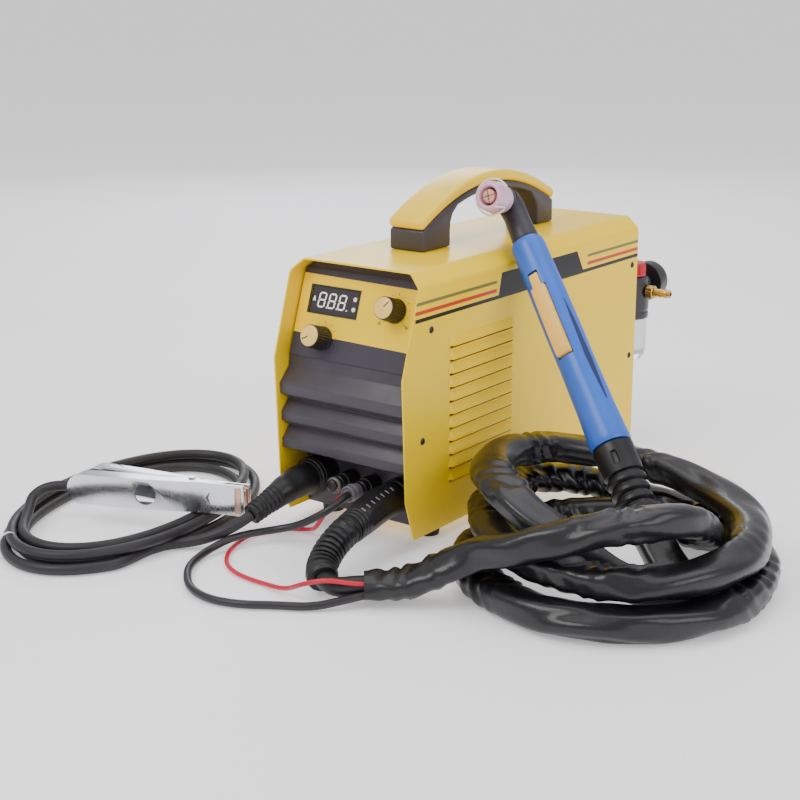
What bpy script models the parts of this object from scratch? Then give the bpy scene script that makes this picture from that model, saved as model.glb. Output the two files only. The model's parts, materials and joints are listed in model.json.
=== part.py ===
"""Inverter plasma cutter with its earth lead and torch lead, as separate pieces.

Units are metres. +Z is up, the control front faces -Y, +X is the side with the torch.
Z = 0 is the surface that the unit stands on.
"""
import math

import bmesh
import bpy
from mathutils import Matrix, Vector

# ---------------------------------------------------------------- driving sizes
CASE_WIDTH = 0.1414
CASE_LENGTH = 0.399
CASE_HEIGHT = 0.230
FOOT_HEIGHT = 0.010
SHEET = 0.0015
GAP = 0.0003
CHAMFER_WIDTH = 0.0124
CHAMFER_HEIGHT = 0.0115

# the side flaps that stand ahead of the front panel: how far back from the nose, how far up
FLAP_TOE_BACK = 0.0164
FLAP_HEEL_BACK = 0.0045
FLAP_HEEL_UP = 0.036
FLAP_NOSE_UP = 0.1438
FLAP_SHOULDER_BACK = 0.0239
FLAP_TOP_BACK = 0.0288

# the slanted control panel: its top edge, its lean and its length down the slope
PANEL_BACK = 0.0429
PANEL_TOP_DROP = 0.0104
PANEL_LEAN = math.radians(19.06)
PANEL_LENGTH = 0.0790
PANEL_MARGIN = 0.0020
PLATE_THICKNESS = 0.0012
WALL = 0.003

WINDOW_SIZE = (0.0535, 0.0240)
WINDOW_PLACE = (-0.0290, 0.0276)
CURRENT_KNOB_PLACE = (0.0385, 0.0275)
GAS_KNOB_PLACE = (-0.0336, 0.0612)
KNOB_RADIUS = 0.0112
KNOB_HEIGHT = 0.0200
SHAFT_RADIUS = 0.003
SHAFT_CLEARANCE = 0.0005

# the front moulding: three slats, each as (root back, root z, lip back, lip top z, lip bottom z)
SLATS = ((0.0170, 0.1435, 0.0049, 0.1307, 0.1211),
         (0.0155, 0.1142, 0.0061, 0.1044, 0.0961),
         (0.0155, 0.0889, 0.0067, 0.0791, 0.0707))
PORT_PANEL_BACK = 0.0415
PORT_PANEL_TOP = 0.0640
PORT_HEIGHT = 0.0430

EARTH_PORT_X = -0.0480
CONTROL_PORTS_X = (-0.0155, 0.0095)
TORCH_PORT_X = 0.0455
EARTH_PORT_RADIUS = 0.0165
CONTROL_PORT_RADIUS = 0.0080
TORCH_PORT_RADIUS = 0.0140

LOUVRE_COUNT = 11
LOUVRE_FRONT = 0.0655
LOUVRE_LENGTH = 0.1040
LOUVRE_LOW = 0.0506
LOUVRE_PITCH = 0.0121
LOUVRE_HEIGHT = 0.0066
LOUVRE_PROUD = 0.0032
LOUVRE_SLOT = 0.0030

HANDLE_X = -0.0050
HANDLE_WIDTH = 0.0370
HANDLE_FRONT = -0.0955
HANDLE_REAR = 0.1290
HANDLE_PEAK_Y = 0.0200
HANDLE_PEAK_UP = 0.0610
HANDLE_ARCH_DROP = 0.0340
HANDLE_INSIDE_PEAK_UP = 0.0445
HANDLE_INSIDE_FRONT = -0.0500
HANDLE_INSIDE_REAR = 0.0980
GRIP_DEPTH = 0.0105

REAR_INSET = 0.0060
REAR_THICKNESS = 0.0020
FAN_SIZE = 0.080
FAN_DEPTH = 0.025
FAN_X = -0.0200
FAN_Z = 0.0740
FAN_BORE = FAN_SIZE * 0.475
ROTOR_RADIUS = FAN_SIZE * 0.44375
HUB_RADIUS = 0.0160
BLADES = 7
SWITCH_PLACE = (-0.0400, 0.1800)
SWITCH_SIZE = (0.0220, 0.0300)
GLAND_PLACE = (0.0100, 0.1800)
GLAND_RADIUS = 0.0095

REGULATOR_X = 0.0450
REGULATOR_BACK = 0.0385
REGULATOR_RADIUS = 0.0180
REGULATOR_LOW = 0.1270
REGULATOR_HIGH = 0.1710
GAUGE_Z = 0.1600
GAUGE_RADIUS = 0.0205
BARB_Z = 0.1560

EARTH_CABLE_RADIUS = 0.00475
EARTH_COIL_PLACE = (-0.1990, -0.2470)
EARTH_COIL_HALF = (0.0950, 0.1620)
EARTH_COIL_TURN = math.radians(14.0)
EARTH_COIL_WIDTH = 0.0280
EARTH_COIL_HEIGHT = 0.0190

CLAMP_PLACE = (-0.2260, -0.2930, 0.0345)
CLAMP_HEADING = math.radians(18.3)
CLAMP_LENGTH = 0.1660
CLAMP_WIDTH = 0.0280
CLAMP_PIVOT = 0.1130
CLAMP_SHEET = 0.0020

CONTROL_PLUG_LENGTH = 0.0410

HOSE_RADIUS = 0.0160
BARE_HOSE_RADIUS = 0.0080
HOSE_COIL_PLACE = (CASE_WIDTH / 2 + 0.1533, -0.1180)
HOSE_COIL_HALF = (0.1380, 0.1650)
HOSE_COIL_TURN = math.radians(36.9)
HOSE_COIL_WIDTH = 0.0660
HOSE_COIL_HEIGHT = 0.0960
HOSE_COIL_EDGE = 0.0300
HOSE_COIL_SLOPE = 0.0380

TORCH_TOP = (CASE_WIDTH / 2 + 0.0088, -0.0256, 0.2464)
TORCH_AXIS = (0.6248, -0.3308, -0.7073)
TORCH_HANDLE_LENGTH = 0.2100
NOZZLE_AXIS = (0.2180, -0.9420, 0.2500)
TORCH_BOOT_LENGTH = 0.0650
TRIGGER_LOW = 0.0900
TRIGGER_HIGH = 0.1780
TRIGGER_WIDTH = 0.0140

# where the machine's own centre stands in the set, so that the hard pieces are centred
MACHINE_PLACE = (-0.0150, 0.0177)

PILOT_WIRE_RADIUS = 0.0020
TRIGGER_WIRE_RADIUS = 0.0034

# the free leads, chosen by hand, in machine coordinates
EARTH_ROUTE = [(-0.0565, -0.2670, 1.5 * EARTH_CABLE_RADIUS + 0.014375),
               (-0.0640, -0.2770, 1.5 * EARTH_CABLE_RADIUS + 0.008875),
               (-0.0760, -0.2860, EARTH_CABLE_RADIUS + 0.00525),
               (-0.0905, -0.2935, EARTH_CABLE_RADIUS + 0.00125)]
HOSE_ROUTE = [(0.0885, -0.3120, 0.0140), (0.0985, -0.3050, 0.0152), (0.1100, -0.2945, 0.0163),
              (0.1360, -0.2750, 0.0163), (CASE_WIDTH / 2 + 0.0909, -0.2558, 0.0163)]
SHEATH_START = (0.1100, -0.2945, 0.0163)
PILOT_ROUTE = [(0.0010, -0.2110, 0.0330), (-0.0060, -0.2130, 0.0240), (-0.0160, -0.2110, 0.0110),
               (-0.0300, -0.2050, 0.0040), (-0.0480, -0.2110, 0.0026), (-0.0600, -0.2260, 0.0026),
               (-0.0640, -0.2480, 0.0026), (-0.0560, -0.2760, 0.0026), (-0.0430, -0.2970, 0.0026),
               (-0.0260, -0.3110, 0.0026), (-0.0040, -0.3180, 0.0026), (0.0200, -0.3190, 0.0026),
               (0.0450, -0.3210, 0.0060), (0.0720, -0.3260, 0.0200), (0.0900, -0.3210, 0.0270),
               (0.1030, -0.3080, 0.0275)]
TRIGGER_ROUTE = [(0.0080, -0.2190, 0.0360), (-0.0040, -0.2270, 0.0270), (-0.0200, -0.2320, 0.0180),
                 (-0.0370, -0.2400, 0.0130), (-0.0500, -0.2560, 0.0115), (-0.0590, -0.2760, 0.0100),
                 (-0.0640, -0.2990, 0.0048), (-0.0560, -0.3260, 0.0038), (-0.0400, -0.3470, 0.0038),
                 (-0.0180, -0.3640, 0.0038), (0.0080, -0.3700, 0.0038), (0.0330, -0.3640, 0.0038),
                 (0.0560, -0.3500, 0.0038), (0.0830, -0.3340, 0.0038), (0.1045, -0.3150, 0.0042)]

# ---------------------------------------------------------------- worked out from them
HALF_WIDTH = CASE_WIDTH / 2
FRONT = -CASE_LENGTH / 2
REAR = CASE_LENGTH / 2
CASE_LOW = FOOT_HEIGHT
CASE_TOP = FOOT_HEIGHT + CASE_HEIGHT
INSIDE_HALF = HALF_WIDTH - SHEET - GAP
FLOOR_TOP = CASE_LOW + SHEET + GAP
PANEL_DOWN = Vector((0, -math.sin(PANEL_LEAN), -math.cos(PANEL_LEAN)))
PANEL_OUT = Vector((0, -math.cos(PANEL_LEAN), math.sin(PANEL_LEAN)))
PANEL_TOP = Vector((0, FRONT + PANEL_BACK, CASE_TOP - PANEL_TOP_DROP))
PORT_FACE = FRONT + PORT_PANEL_BACK
REAR_FACE = REAR - REAR_INSET
FRONT_DIRECTION = Vector((0, -1, 0))

# ---------------------------------------------------------------- scene and helpers
for old in list(bpy.data.objects):
    bpy.data.objects.remove(old, do_unlink=True)

parts = bpy.data.collections.new("plasma_cutter")
cutters = bpy.data.collections.new("cutters")
bpy.context.scene.collection.children.link(parts)
bpy.context.scene.collection.children.link(cutters)

set_origin = bpy.data.objects.new("set_origin", None)
set_origin.location = (*MACHINE_PLACE, 0)
parts.objects.link(set_origin)


def material(name, colour, roughness, metallic=0.0):
    """A Principled material, made once for each name."""
    found = bpy.data.materials.get(name)
    if found:
        return found
    made = bpy.data.materials.new(name)
    made.use_nodes = True
    shader = made.node_tree.nodes["Principled BSDF"]
    shader.inputs["Base Color"].default_value = (*colour, 1)
    shader.inputs["Roughness"].default_value = roughness
    shader.inputs["Metallic"].default_value = metallic
    return made


YELLOW = material("yellow_paint", (0.85, 0.62, 0.01), 0.25)
BLACK = material("black_moulding", (0.03, 0.03, 0.035), 0.5)
RUBBER = material("black_rubber", (0.015, 0.015, 0.016), 0.6)
STEEL = material("bright_steel", (0.75, 0.76, 0.78), 0.2, 1.0)
COPPER = material("copper", (0.75, 0.38, 0.22), 0.3, 1.0)
BRASS = material("brass", (0.78, 0.56, 0.20), 0.3, 1.0)
BLUE = material("blue_plastic", (0.06, 0.18, 0.55), 0.45)
PINK = material("pink_ceramic", (0.75, 0.52, 0.52), 0.5)
RED = material("red_plastic", (0.70, 0.02, 0.03), 0.4)
CLEAR = material("clear_bowl", (0.75, 0.80, 0.82), 0.1)
SMOKE = material("smoked_window", (0.03, 0.02, 0.02), 0.1)
WHITE = material("white_nylon", (0.85, 0.85, 0.85), 0.5)
BOARD = material("green_board", (0.03, 0.20, 0.08), 0.5)
ALUMINIUM = material("aluminium", (0.80, 0.80, 0.82), 0.35, 1.0)
LEATHER = material("black_sheath", (0.02, 0.02, 0.022), 0.4)


def add(name, mesh, look, place=None, parent=set_origin):
    """Link a finished mesh as one named piece."""
    made = bpy.data.objects.new(name, mesh)
    made.data.materials.clear()
    made.data.materials.append(look)
    parts.objects.link(made)
    made.parent = parent
    if place is not None:
        made.matrix_basis = place if isinstance(place, Matrix) else Matrix.Translation(place)
    return made


def hide_as_cutter(piece):
    """Keep a helper shape for Booleans, out of the build."""
    parts.objects.unlink(piece)
    cutters.objects.link(piece)
    piece.hide_render = True
    piece.display_type = "WIRE"
    return piece


def boolean(piece, other, operation):
    """Cut, join or intersect a piece with a helper shape."""
    step = piece.modifiers.new(operation.lower() + "_" + other.name, "BOOLEAN")
    step.operation = operation
    step.object = other
    step.solver = "EXACT"
    return piece


def cut(piece, other):
    return boolean(piece, hide_as_cutter(other), "DIFFERENCE")


def join(piece, other):
    return boolean(piece, hide_as_cutter(other), "UNION")


def box(name, low, high, look, place=None, bevel=0.0):
    """A box between two corners, with its origin at its own centre."""
    low, high = Vector(low), Vector(high)
    shape = bmesh.new()
    bmesh.ops.create_cube(shape, size=1.0)
    bmesh.ops.scale(shape, vec=high - low, verts=shape.verts)
    mesh = bpy.data.meshes.new(name)
    shape.to_mesh(mesh)
    shape.free()
    centre = Matrix.Translation((low + high) / 2)
    made = add(name, mesh, look, (place @ centre) if place is not None else centre)
    if bevel:
        edge = made.modifiers.new("rounded_edges", "BEVEL")
        edge.width = bevel
        edge.segments = 2
        edge.limit_method = "ANGLE"
    return made


def pointing(place, direction):
    """The matrix that stands local +Z along a direction at a place."""
    turn = Vector(direction).normalized().to_track_quat("Z", "Y")
    return Matrix.Translation(place) @ turn.to_matrix().to_4x4()


def turned(name, profile, look, place, steps=24):
    """A turned shape: (radius, height) points down the outer side, about local Z."""
    closed = profile[0] == profile[-1]
    points = profile[:-1] if closed else profile
    edges = [(i, i + 1) for i in range(len(points) - 1)] + ([(len(points) - 1, 0)] if closed else [])
    mesh = bpy.data.meshes.new(name)
    mesh.from_pydata([(r, 0, h) for r, h in points], edges, [])
    made = add(name, mesh, look, place)
    spin = made.modifiers.new("spin", "SCREW")
    spin.axis = "Z"
    spin.steps = steps
    spin.render_steps = steps
    spin.use_merge_vertices = True
    spin.merge_threshold = 0.00001
    spin.use_smooth_shade = False
    return made


def rod(name, radius, low, high, look, place, steps=24):
    """A plain turned rod between two heights on local Z."""
    return turned(name, [(0, high), (radius, high), (radius, low), (0, low)], look, place, steps)


def ring(name, outer, inner, low, high, look, place, steps=24):
    """A plain turned ring of rectangular section."""
    profile = [(outer, high), (outer, low), (inner, low), (inner, high), (outer, high)]
    return turned(name, profile, look, place, steps)


def to_mesh(piece):
    """Turn a curve piece into a mesh piece with its caps welded on."""
    graph = bpy.context.evaluated_depsgraph_get()
    graph.update()
    mesh = bpy.data.meshes.new_from_object(piece.evaluated_get(graph))
    shape = bmesh.new()
    shape.from_mesh(mesh)
    bmesh.ops.remove_doubles(shape, verts=shape.verts, dist=0.000001)
    shape.to_mesh(mesh)
    shape.free()
    name, look, place = piece.name, piece.data.materials[0], piece.matrix_basis.copy()
    bpy.data.objects.remove(piece, do_unlink=True)
    return add(name, mesh, look, place)


def outline(name, points, thickness, look, place):
    """A flat outline in local XY, with half its thickness on each side of local Z = 0."""
    curve = bpy.data.curves.new(name, "CURVE")
    curve.dimensions = "2D"
    curve.fill_mode = "BOTH"
    curve.extrude = thickness / 2
    line = curve.splines.new("POLY")
    line.points.add(len(points) - 1)
    for point, (x, y) in zip(line.points, points):
        point.co = (x, y, 0, 1)
    line.use_cyclic_u = True
    curve.materials.append(look)
    made = bpy.data.objects.new(name, curve)
    parts.objects.link(made)
    made.parent = set_origin
    made.matrix_basis = place
    return to_mesh(made)


def side_view(x):
    """A frame whose local XY is the machine's YZ, for outlines seen from the side."""
    return Matrix(((0, 0, 1, x), (1, 0, 0, 0), (0, 1, 0, 0), (0, 0, 0, 1)))


def end_view(y):
    """A frame whose local XY is the machine's XZ, for outlines seen from the rear."""
    return Matrix(((1, 0, 0, 0), (0, 0, -1, y), (0, 1, 0, 0), (0, 0, 0, 1)))


def smooth(points, spacing):
    """Points at an even spacing along a smooth curve through the given ones."""
    points = [Vector(p) for p in points]
    line = [points[0] * 2 - points[1]] + points + [points[-1] * 2 - points[-2]]
    fine = []
    for a, b, c, d in zip(line, line[1:], line[2:], line[3:]):
        for step in range(24):
            t = step / 24
            fine.append(0.5 * ((2 * b) + (c - a) * t + (2 * a - 5 * b + 4 * c - d) * t ** 2
                               + (3 * b - a - 3 * c + d) * t ** 3))
    fine.append(points[-1])
    total = sum((q - p).length for p, q in zip(fine, fine[1:]))
    count = max(2, round(total / spacing))
    even, walked, due = [fine[0]], 0.0, total / count
    for p, q in zip(fine, fine[1:]):
        walked += (q - p).length
        if walked >= due - 1e-9 and len(even) < count:
            even.append(q)
            due += total / count
    return even + [fine[-1]]


def tube(name, points, radius, look, sides=2, radii=None):
    """A round tube through points, its radius the same all along or one for each point."""
    curve = bpy.data.curves.new(name, "CURVE")
    curve.dimensions = "3D"
    curve.bevel_depth = radius
    curve.bevel_resolution = sides
    curve.use_fill_caps = True
    line = curve.splines.new("POLY")
    line.points.add(len(points) - 1)
    for index, (point, co) in enumerate(zip(line.points, points)):
        point.co = (*co, 1)
        point.radius = radii[index] / radius if radii else 1.0
    curve.materials.append(look)
    made = bpy.data.objects.new(name, curve)
    parts.objects.link(made)
    made.parent = set_origin
    return to_mesh(made)


def case_section(inset):
    """The case's cross-section, seen from the rear, moved in by an inset."""
    half = HALF_WIDTH - inset
    top = CASE_TOP - inset
    corner = inset * 0.41
    return [(-half, CASE_LOW), (-half, CASE_TOP - CHAMFER_HEIGHT - corner),
            (-HALF_WIDTH + CHAMFER_WIDTH + corner, top), (HALF_WIDTH - CHAMFER_WIDTH - corner, top),
            (half, CASE_TOP - CHAMFER_HEIGHT - corner), (half, CASE_LOW)]


def inside_block(name, front, rear, low, clearance=GAP):
    """A block that fills the case's inside between two Y planes."""
    points = case_section(SHEET + clearance)
    points[0] = (points[0][0], low)
    points[-1] = (points[-1][0], low)
    return outline(name, points, rear - front, BLACK, end_view((front + rear) / 2))


# ---------------------------------------------------------------- case
def make_cover():
    """Folded sheet: two sides, two slanted corners and a top, with flaps ahead of the front."""
    section = case_section(0)
    mesh = bpy.data.meshes.new("cover")
    count = len(section)
    verts = [(x, FRONT, z) for x, z in section] + [(x, REAR, z) for x, z in section]
    mesh.from_pydata(verts, [], [(i, i + 1, count + i + 1, count + i) for i in range(count - 1)])
    cover = add("cover", mesh, YELLOW)
    wall = cover.modifiers.new("sheet", "SOLIDIFY")
    wall.thickness = SHEET
    wall.offset = -1
    wall.use_even_offset = True
    reach = 0.01
    flap = [(FRONT + FLAP_TOE_BACK, CASE_LOW), (FRONT + FLAP_HEEL_BACK, CASE_LOW + FLAP_HEEL_UP),
            (FRONT, CASE_LOW + FLAP_NOSE_UP), (FRONT + FLAP_SHOULDER_BACK, CASE_TOP - CHAMFER_HEIGHT),
            (FRONT + FLAP_TOP_BACK, CASE_TOP)]
    lean = (FLAP_TOP_BACK - FLAP_SHOULDER_BACK) / CHAMFER_HEIGHT
    toe_slope = (FLAP_TOE_BACK - FLAP_HEEL_BACK) / FLAP_HEEL_UP
    keep = ([(FRONT + FLAP_TOE_BACK + reach * toe_slope, CASE_LOW - reach)] + flap[1:4]
            + [(FRONT + FLAP_TOP_BACK + reach * lean, CASE_TOP + reach),
               (REAR + reach, CASE_TOP + reach), (REAR + reach, CASE_LOW - reach)])
    trim = outline("cover_trim", keep, CASE_WIDTH + 0.02, YELLOW, side_view(0))
    boolean(cover, hide_as_cutter(trim), "INTERSECT")
    join(cover, louvre_hoods())
    cut(cover, louvre_slots())
    cover.data.materials[0] = YELLOW
    return cover


def repeat_louvres(piece):
    """One louvre shape, repeated up the side and mirrored to the other side."""
    rows = piece.modifiers.new("rows", "ARRAY")
    rows.count = LOUVRE_COUNT
    rows.use_relative_offset = False
    rows.use_constant_offset = True
    rows.constant_offset_displace = (0, 0, LOUVRE_PITCH)
    rows.merge_threshold = 0.00001
    sides = piece.modifiers.new("both_sides", "MIRROR")
    sides.use_axis = (True, False, False)
    sides.use_mirror_merge = False
    return piece


def louvre_hoods():
    """Wedges pressed out of the sheet above each slot."""
    face, low = HALF_WIDTH, LOUVRE_LOW
    section = [(face - SHEET / 2, low + LOUVRE_HEIGHT), (face - SHEET / 2, low), (face + LOUVRE_PROUD, low)]
    front = FRONT + LOUVRE_FRONT
    length = LOUVRE_LENGTH
    place = end_view(front + length / 2)
    hood = outline("louvre_hoods", section, length, YELLOW, place)
    hood.data.transform(hood.matrix_basis)
    hood.matrix_basis = Matrix.Identity(4)
    return repeat_louvres(hood)


def louvre_slots():
    """The air slots below the hoods, cut through the sheet."""
    front = FRONT + LOUVRE_FRONT
    slot = box("louvre_slots", (HALF_WIDTH - 3 * SHEET, front, LOUVRE_LOW - LOUVRE_SLOT),
               (HALF_WIDTH + SHEET, front + LOUVRE_LENGTH, LOUVRE_LOW), YELLOW)
    slot.data.transform(slot.matrix_basis)
    slot.matrix_basis = Matrix.Identity(4)
    return repeat_louvres(slot)


def make_base():
    """The pan that closes the case below, with its sides turned up inside the cover."""
    half, side = INSIDE_HALF, 0.022
    low, high = CASE_LOW, CASE_LOW + SHEET
    points = [(-half, low), (half, low), (half, low + side), (half - SHEET, low + side),
              (half - SHEET, high), (-half + SHEET, high), (-half + SHEET, low + side), (-half, low + side)]
    rear = REAR_FACE - REAR_THICKNESS - GAP
    front = PORT_FACE + WALL + GAP
    outline("base_pan", points, rear - front, YELLOW, end_view((front + rear) / 2))
    for row, y in (("front", FRONT + 0.060), ("rear", REAR - 0.035)):
        for side_name, x in (("left", -0.054), ("right", 0.054)):
            rubber = [(0, FOOT_HEIGHT - GAP), (0.0110, FOOT_HEIGHT - GAP), (0.0095, 0), (0, 0)]
            turned(f"foot_{row}_{side_name}", rubber, RUBBER, Matrix.Translation((x, y, 0)), 20)


# ---------------------------------------------------------------- front
def panel_frame(lift=0.0):
    """Local X across, Y up the slope, Z out of the slanted control panel."""
    up = -PANEL_DOWN
    place = PANEL_TOP + PANEL_OUT * lift
    return Matrix(((1, up.x, PANEL_OUT.x, place.x), (0, up.y, PANEL_OUT.y, place.y),
                   (0, up.z, PANEL_OUT.z, place.z), (0, 0, 0, 1)))


def slope_point(down, depth):
    """(y, z) on the slanted panel, so far down the slope and so deep behind its face."""
    point = PANEL_TOP + PANEL_DOWN * down - PANEL_OUT * depth
    return point.y, point.z


def make_front():
    """Black moulding: slanted backing for the plate, three slats, connector panel below."""
    behind = PLATE_THICKNESS + GAP
    top = CASE_TOP
    rise = PANEL_TOP_DROP / math.cos(PANEL_LEAN)
    points = [slope_point(-rise, behind), slope_point(PANEL_LENGTH, behind)]
    for root_back, root_z, lip_back, lip_top, lip_low in SLATS:
        points += [(FRONT + root_back, root_z), (FRONT + lip_back, lip_top), (FRONT + lip_back, lip_low)]
    points += [(PORT_FACE, PORT_PANEL_TOP), (PORT_FACE, CASE_LOW), (PORT_FACE + WALL, CASE_LOW),
               (PORT_FACE + WALL, PORT_PANEL_TOP + WALL), (FRONT + 0.026, PORT_PANEL_TOP + 0.014),
               slope_point(PANEL_LENGTH + 0.006, behind + WALL), slope_point(-rise, behind + WALL)]
    bezel = outline("front_bezel", points, 2 * HALF_WIDTH, BLACK, side_view(0))
    keep = inside_block("bezel_keep", FRONT - 0.01, FRONT + 0.08, CASE_LOW)
    boolean(bezel, hide_as_cutter(keep), "INTERSECT")

    half = HALF_WIDTH - SHEET - PANEL_MARGIN
    plate = box("control_plate", (-half, -PANEL_LENGTH, -PLATE_THICKNESS), (half, 0, 0), YELLOW, panel_frame())

    width, height = WINDOW_SIZE
    x, down = WINDOW_PLACE
    low = Vector((x - width / 2, -down - height / 2, -0.012))
    high = Vector((x + width / 2, -down + height / 2, 0.004))
    for target in (bezel, plate):
        cut(target, box(target.name + "_window_cut", low, high, BLACK, panel_frame()))
    fit = Vector((GAP, GAP, 0))
    low.z, high.z = -PLATE_THICKNESS - WALL, -0.0006
    box("display_window", low + fit, high - fit, SMOKE, panel_frame())

    for label, (x, down) in (("current_knob", CURRENT_KNOB_PLACE), ("gas_time_knob", GAS_KNOB_PLACE)):
        place = panel_frame() @ Matrix.Translation((x, -down, 0))
        for target in (bezel, plate):
            cut(target, rod(f"{target.name}_{label}_drill", SHAFT_RADIUS + SHAFT_CLEARANCE,
                            -0.012, 0.004, BLACK, place))
        knob = [(0, KNOB_HEIGHT), (KNOB_RADIUS * 0.80, KNOB_HEIGHT), (KNOB_RADIUS * 0.86, 0.004),
                (KNOB_RADIUS, 0.0035), (KNOB_RADIUS, 0.0006), (SHAFT_RADIUS, 0.0006),
                (SHAFT_RADIUS, -0.0075), (0, -0.0075)]
        turned(label, knob, BLACK, place, 28)

    board_depth = 0.0095
    board = box("control_board", (-0.060, -PANEL_LENGTH + 0.002, -board_depth - 0.0016),
                (0.060, -0.006, -board_depth), BOARD, panel_frame())
    for label, (x, down) in (("current", CURRENT_KNOB_PLACE), ("gas", GAS_KNOB_PLACE)):
        place = panel_frame() @ Matrix.Translation((x, -down, 0))
        join(board, ring(f"{label}_bushing", 0.0048, SHAFT_RADIUS + SHAFT_CLEARANCE,
                         -board_depth - 0.0005, -0.0058, BOARD, place, 16))
    x, down = WINDOW_PLACE
    join(board, box("digit_block", (x - 0.026, -down - 0.009, -board_depth - 0.0005),
                    (x + 0.026, -down + 0.009, -0.0052), BOARD, panel_frame()))
    return bezel


def port_frame(x):
    """Local Z straight out of the connector panel at a port's centre."""
    return pointing((x, PORT_FACE, PORT_HEIGHT), FRONT_DIRECTION)


def make_ports(bezel):
    """Sockets let into the connector panel: earth, two control, torch."""
    ports = [("earth_socket", EARTH_PORT_X, EARTH_PORT_RADIUS, 0.0090, 0.0060)]
    ports += [("control_socket_left", CONTROL_PORTS_X[0], CONTROL_PORT_RADIUS, 0.0060, 0.0030)]
    ports += [("control_socket_right", CONTROL_PORTS_X[1], CONTROL_PORT_RADIUS, 0.0060, 0.0030)]
    ports += [("torch_socket", TORCH_PORT_X, TORCH_PORT_RADIUS, 0.0080, 0.0050)]
    inside = 0.012
    for name, x, radius, proud, bore in ports:
        neck = radius * 0.78
        look = BRASS if name == "torch_socket" else BLACK
        drill = rod(name + "_hole", neck + GAP, -0.02, 0.02, BLACK, port_frame(x))
        cut(bezel, drill)
        profile = [(bore, proud), (radius, proud), (radius, GAP), (neck, GAP), (neck, -inside),
                   (0, -inside), (0, -0.004), (bore, -0.004), (bore, proud)]
        turned(name, profile, look, port_frame(x))


# ---------------------------------------------------------------- carrying handle
def arch(y, peak, reach, drop):
    """Height of a shallow arch at a place along the handle."""
    return peak - drop * ((y - HANDLE_PEAK_Y) / reach) ** 2


def arch_line(front, rear, peak, count=11):
    """Points along an arch from front to rear."""
    reach = HANDLE_PEAK_Y - HANDLE_FRONT
    places = [front + (rear - front) * i / (count - 1) for i in range(count)]
    return [(y, arch(y, peak, reach, HANDLE_ARCH_DROP)) for y in places]


def make_handle():
    """Black arch on two legs, with a yellow grip along its top."""
    base = CASE_TOP + GAP
    outer = arch_line(HANDLE_FRONT, HANDLE_REAR, CASE_TOP + HANDLE_PEAK_UP)
    split = arch_line(HANDLE_FRONT + 0.003, HANDLE_REAR - 0.003, CASE_TOP + HANDLE_PEAK_UP - GRIP_DEPTH)
    inner = arch_line(HANDLE_INSIDE_FRONT + 0.006, HANDLE_INSIDE_REAR - 0.006, CASE_TOP + HANDLE_INSIDE_PEAK_UP)
    place = side_view(HANDLE_X)
    body = ([(HANDLE_FRONT + 0.003, base)] + split + [(HANDLE_REAR - 0.003, base), (HANDLE_INSIDE_REAR, base)]
            + [(HANDLE_INSIDE_REAR, CASE_TOP + 0.014)] + inner[::-1]
            + [(HANDLE_INSIDE_FRONT, CASE_TOP + 0.014), (HANDLE_INSIDE_FRONT, base)])
    outline("handle_body", body, HANDLE_WIDTH, BLACK, place)
    lower = [(y, z + GAP) for y, z in split]
    outline("handle_grip", outer + lower[::-1], HANDLE_WIDTH + 0.002, YELLOW, place)


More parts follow.
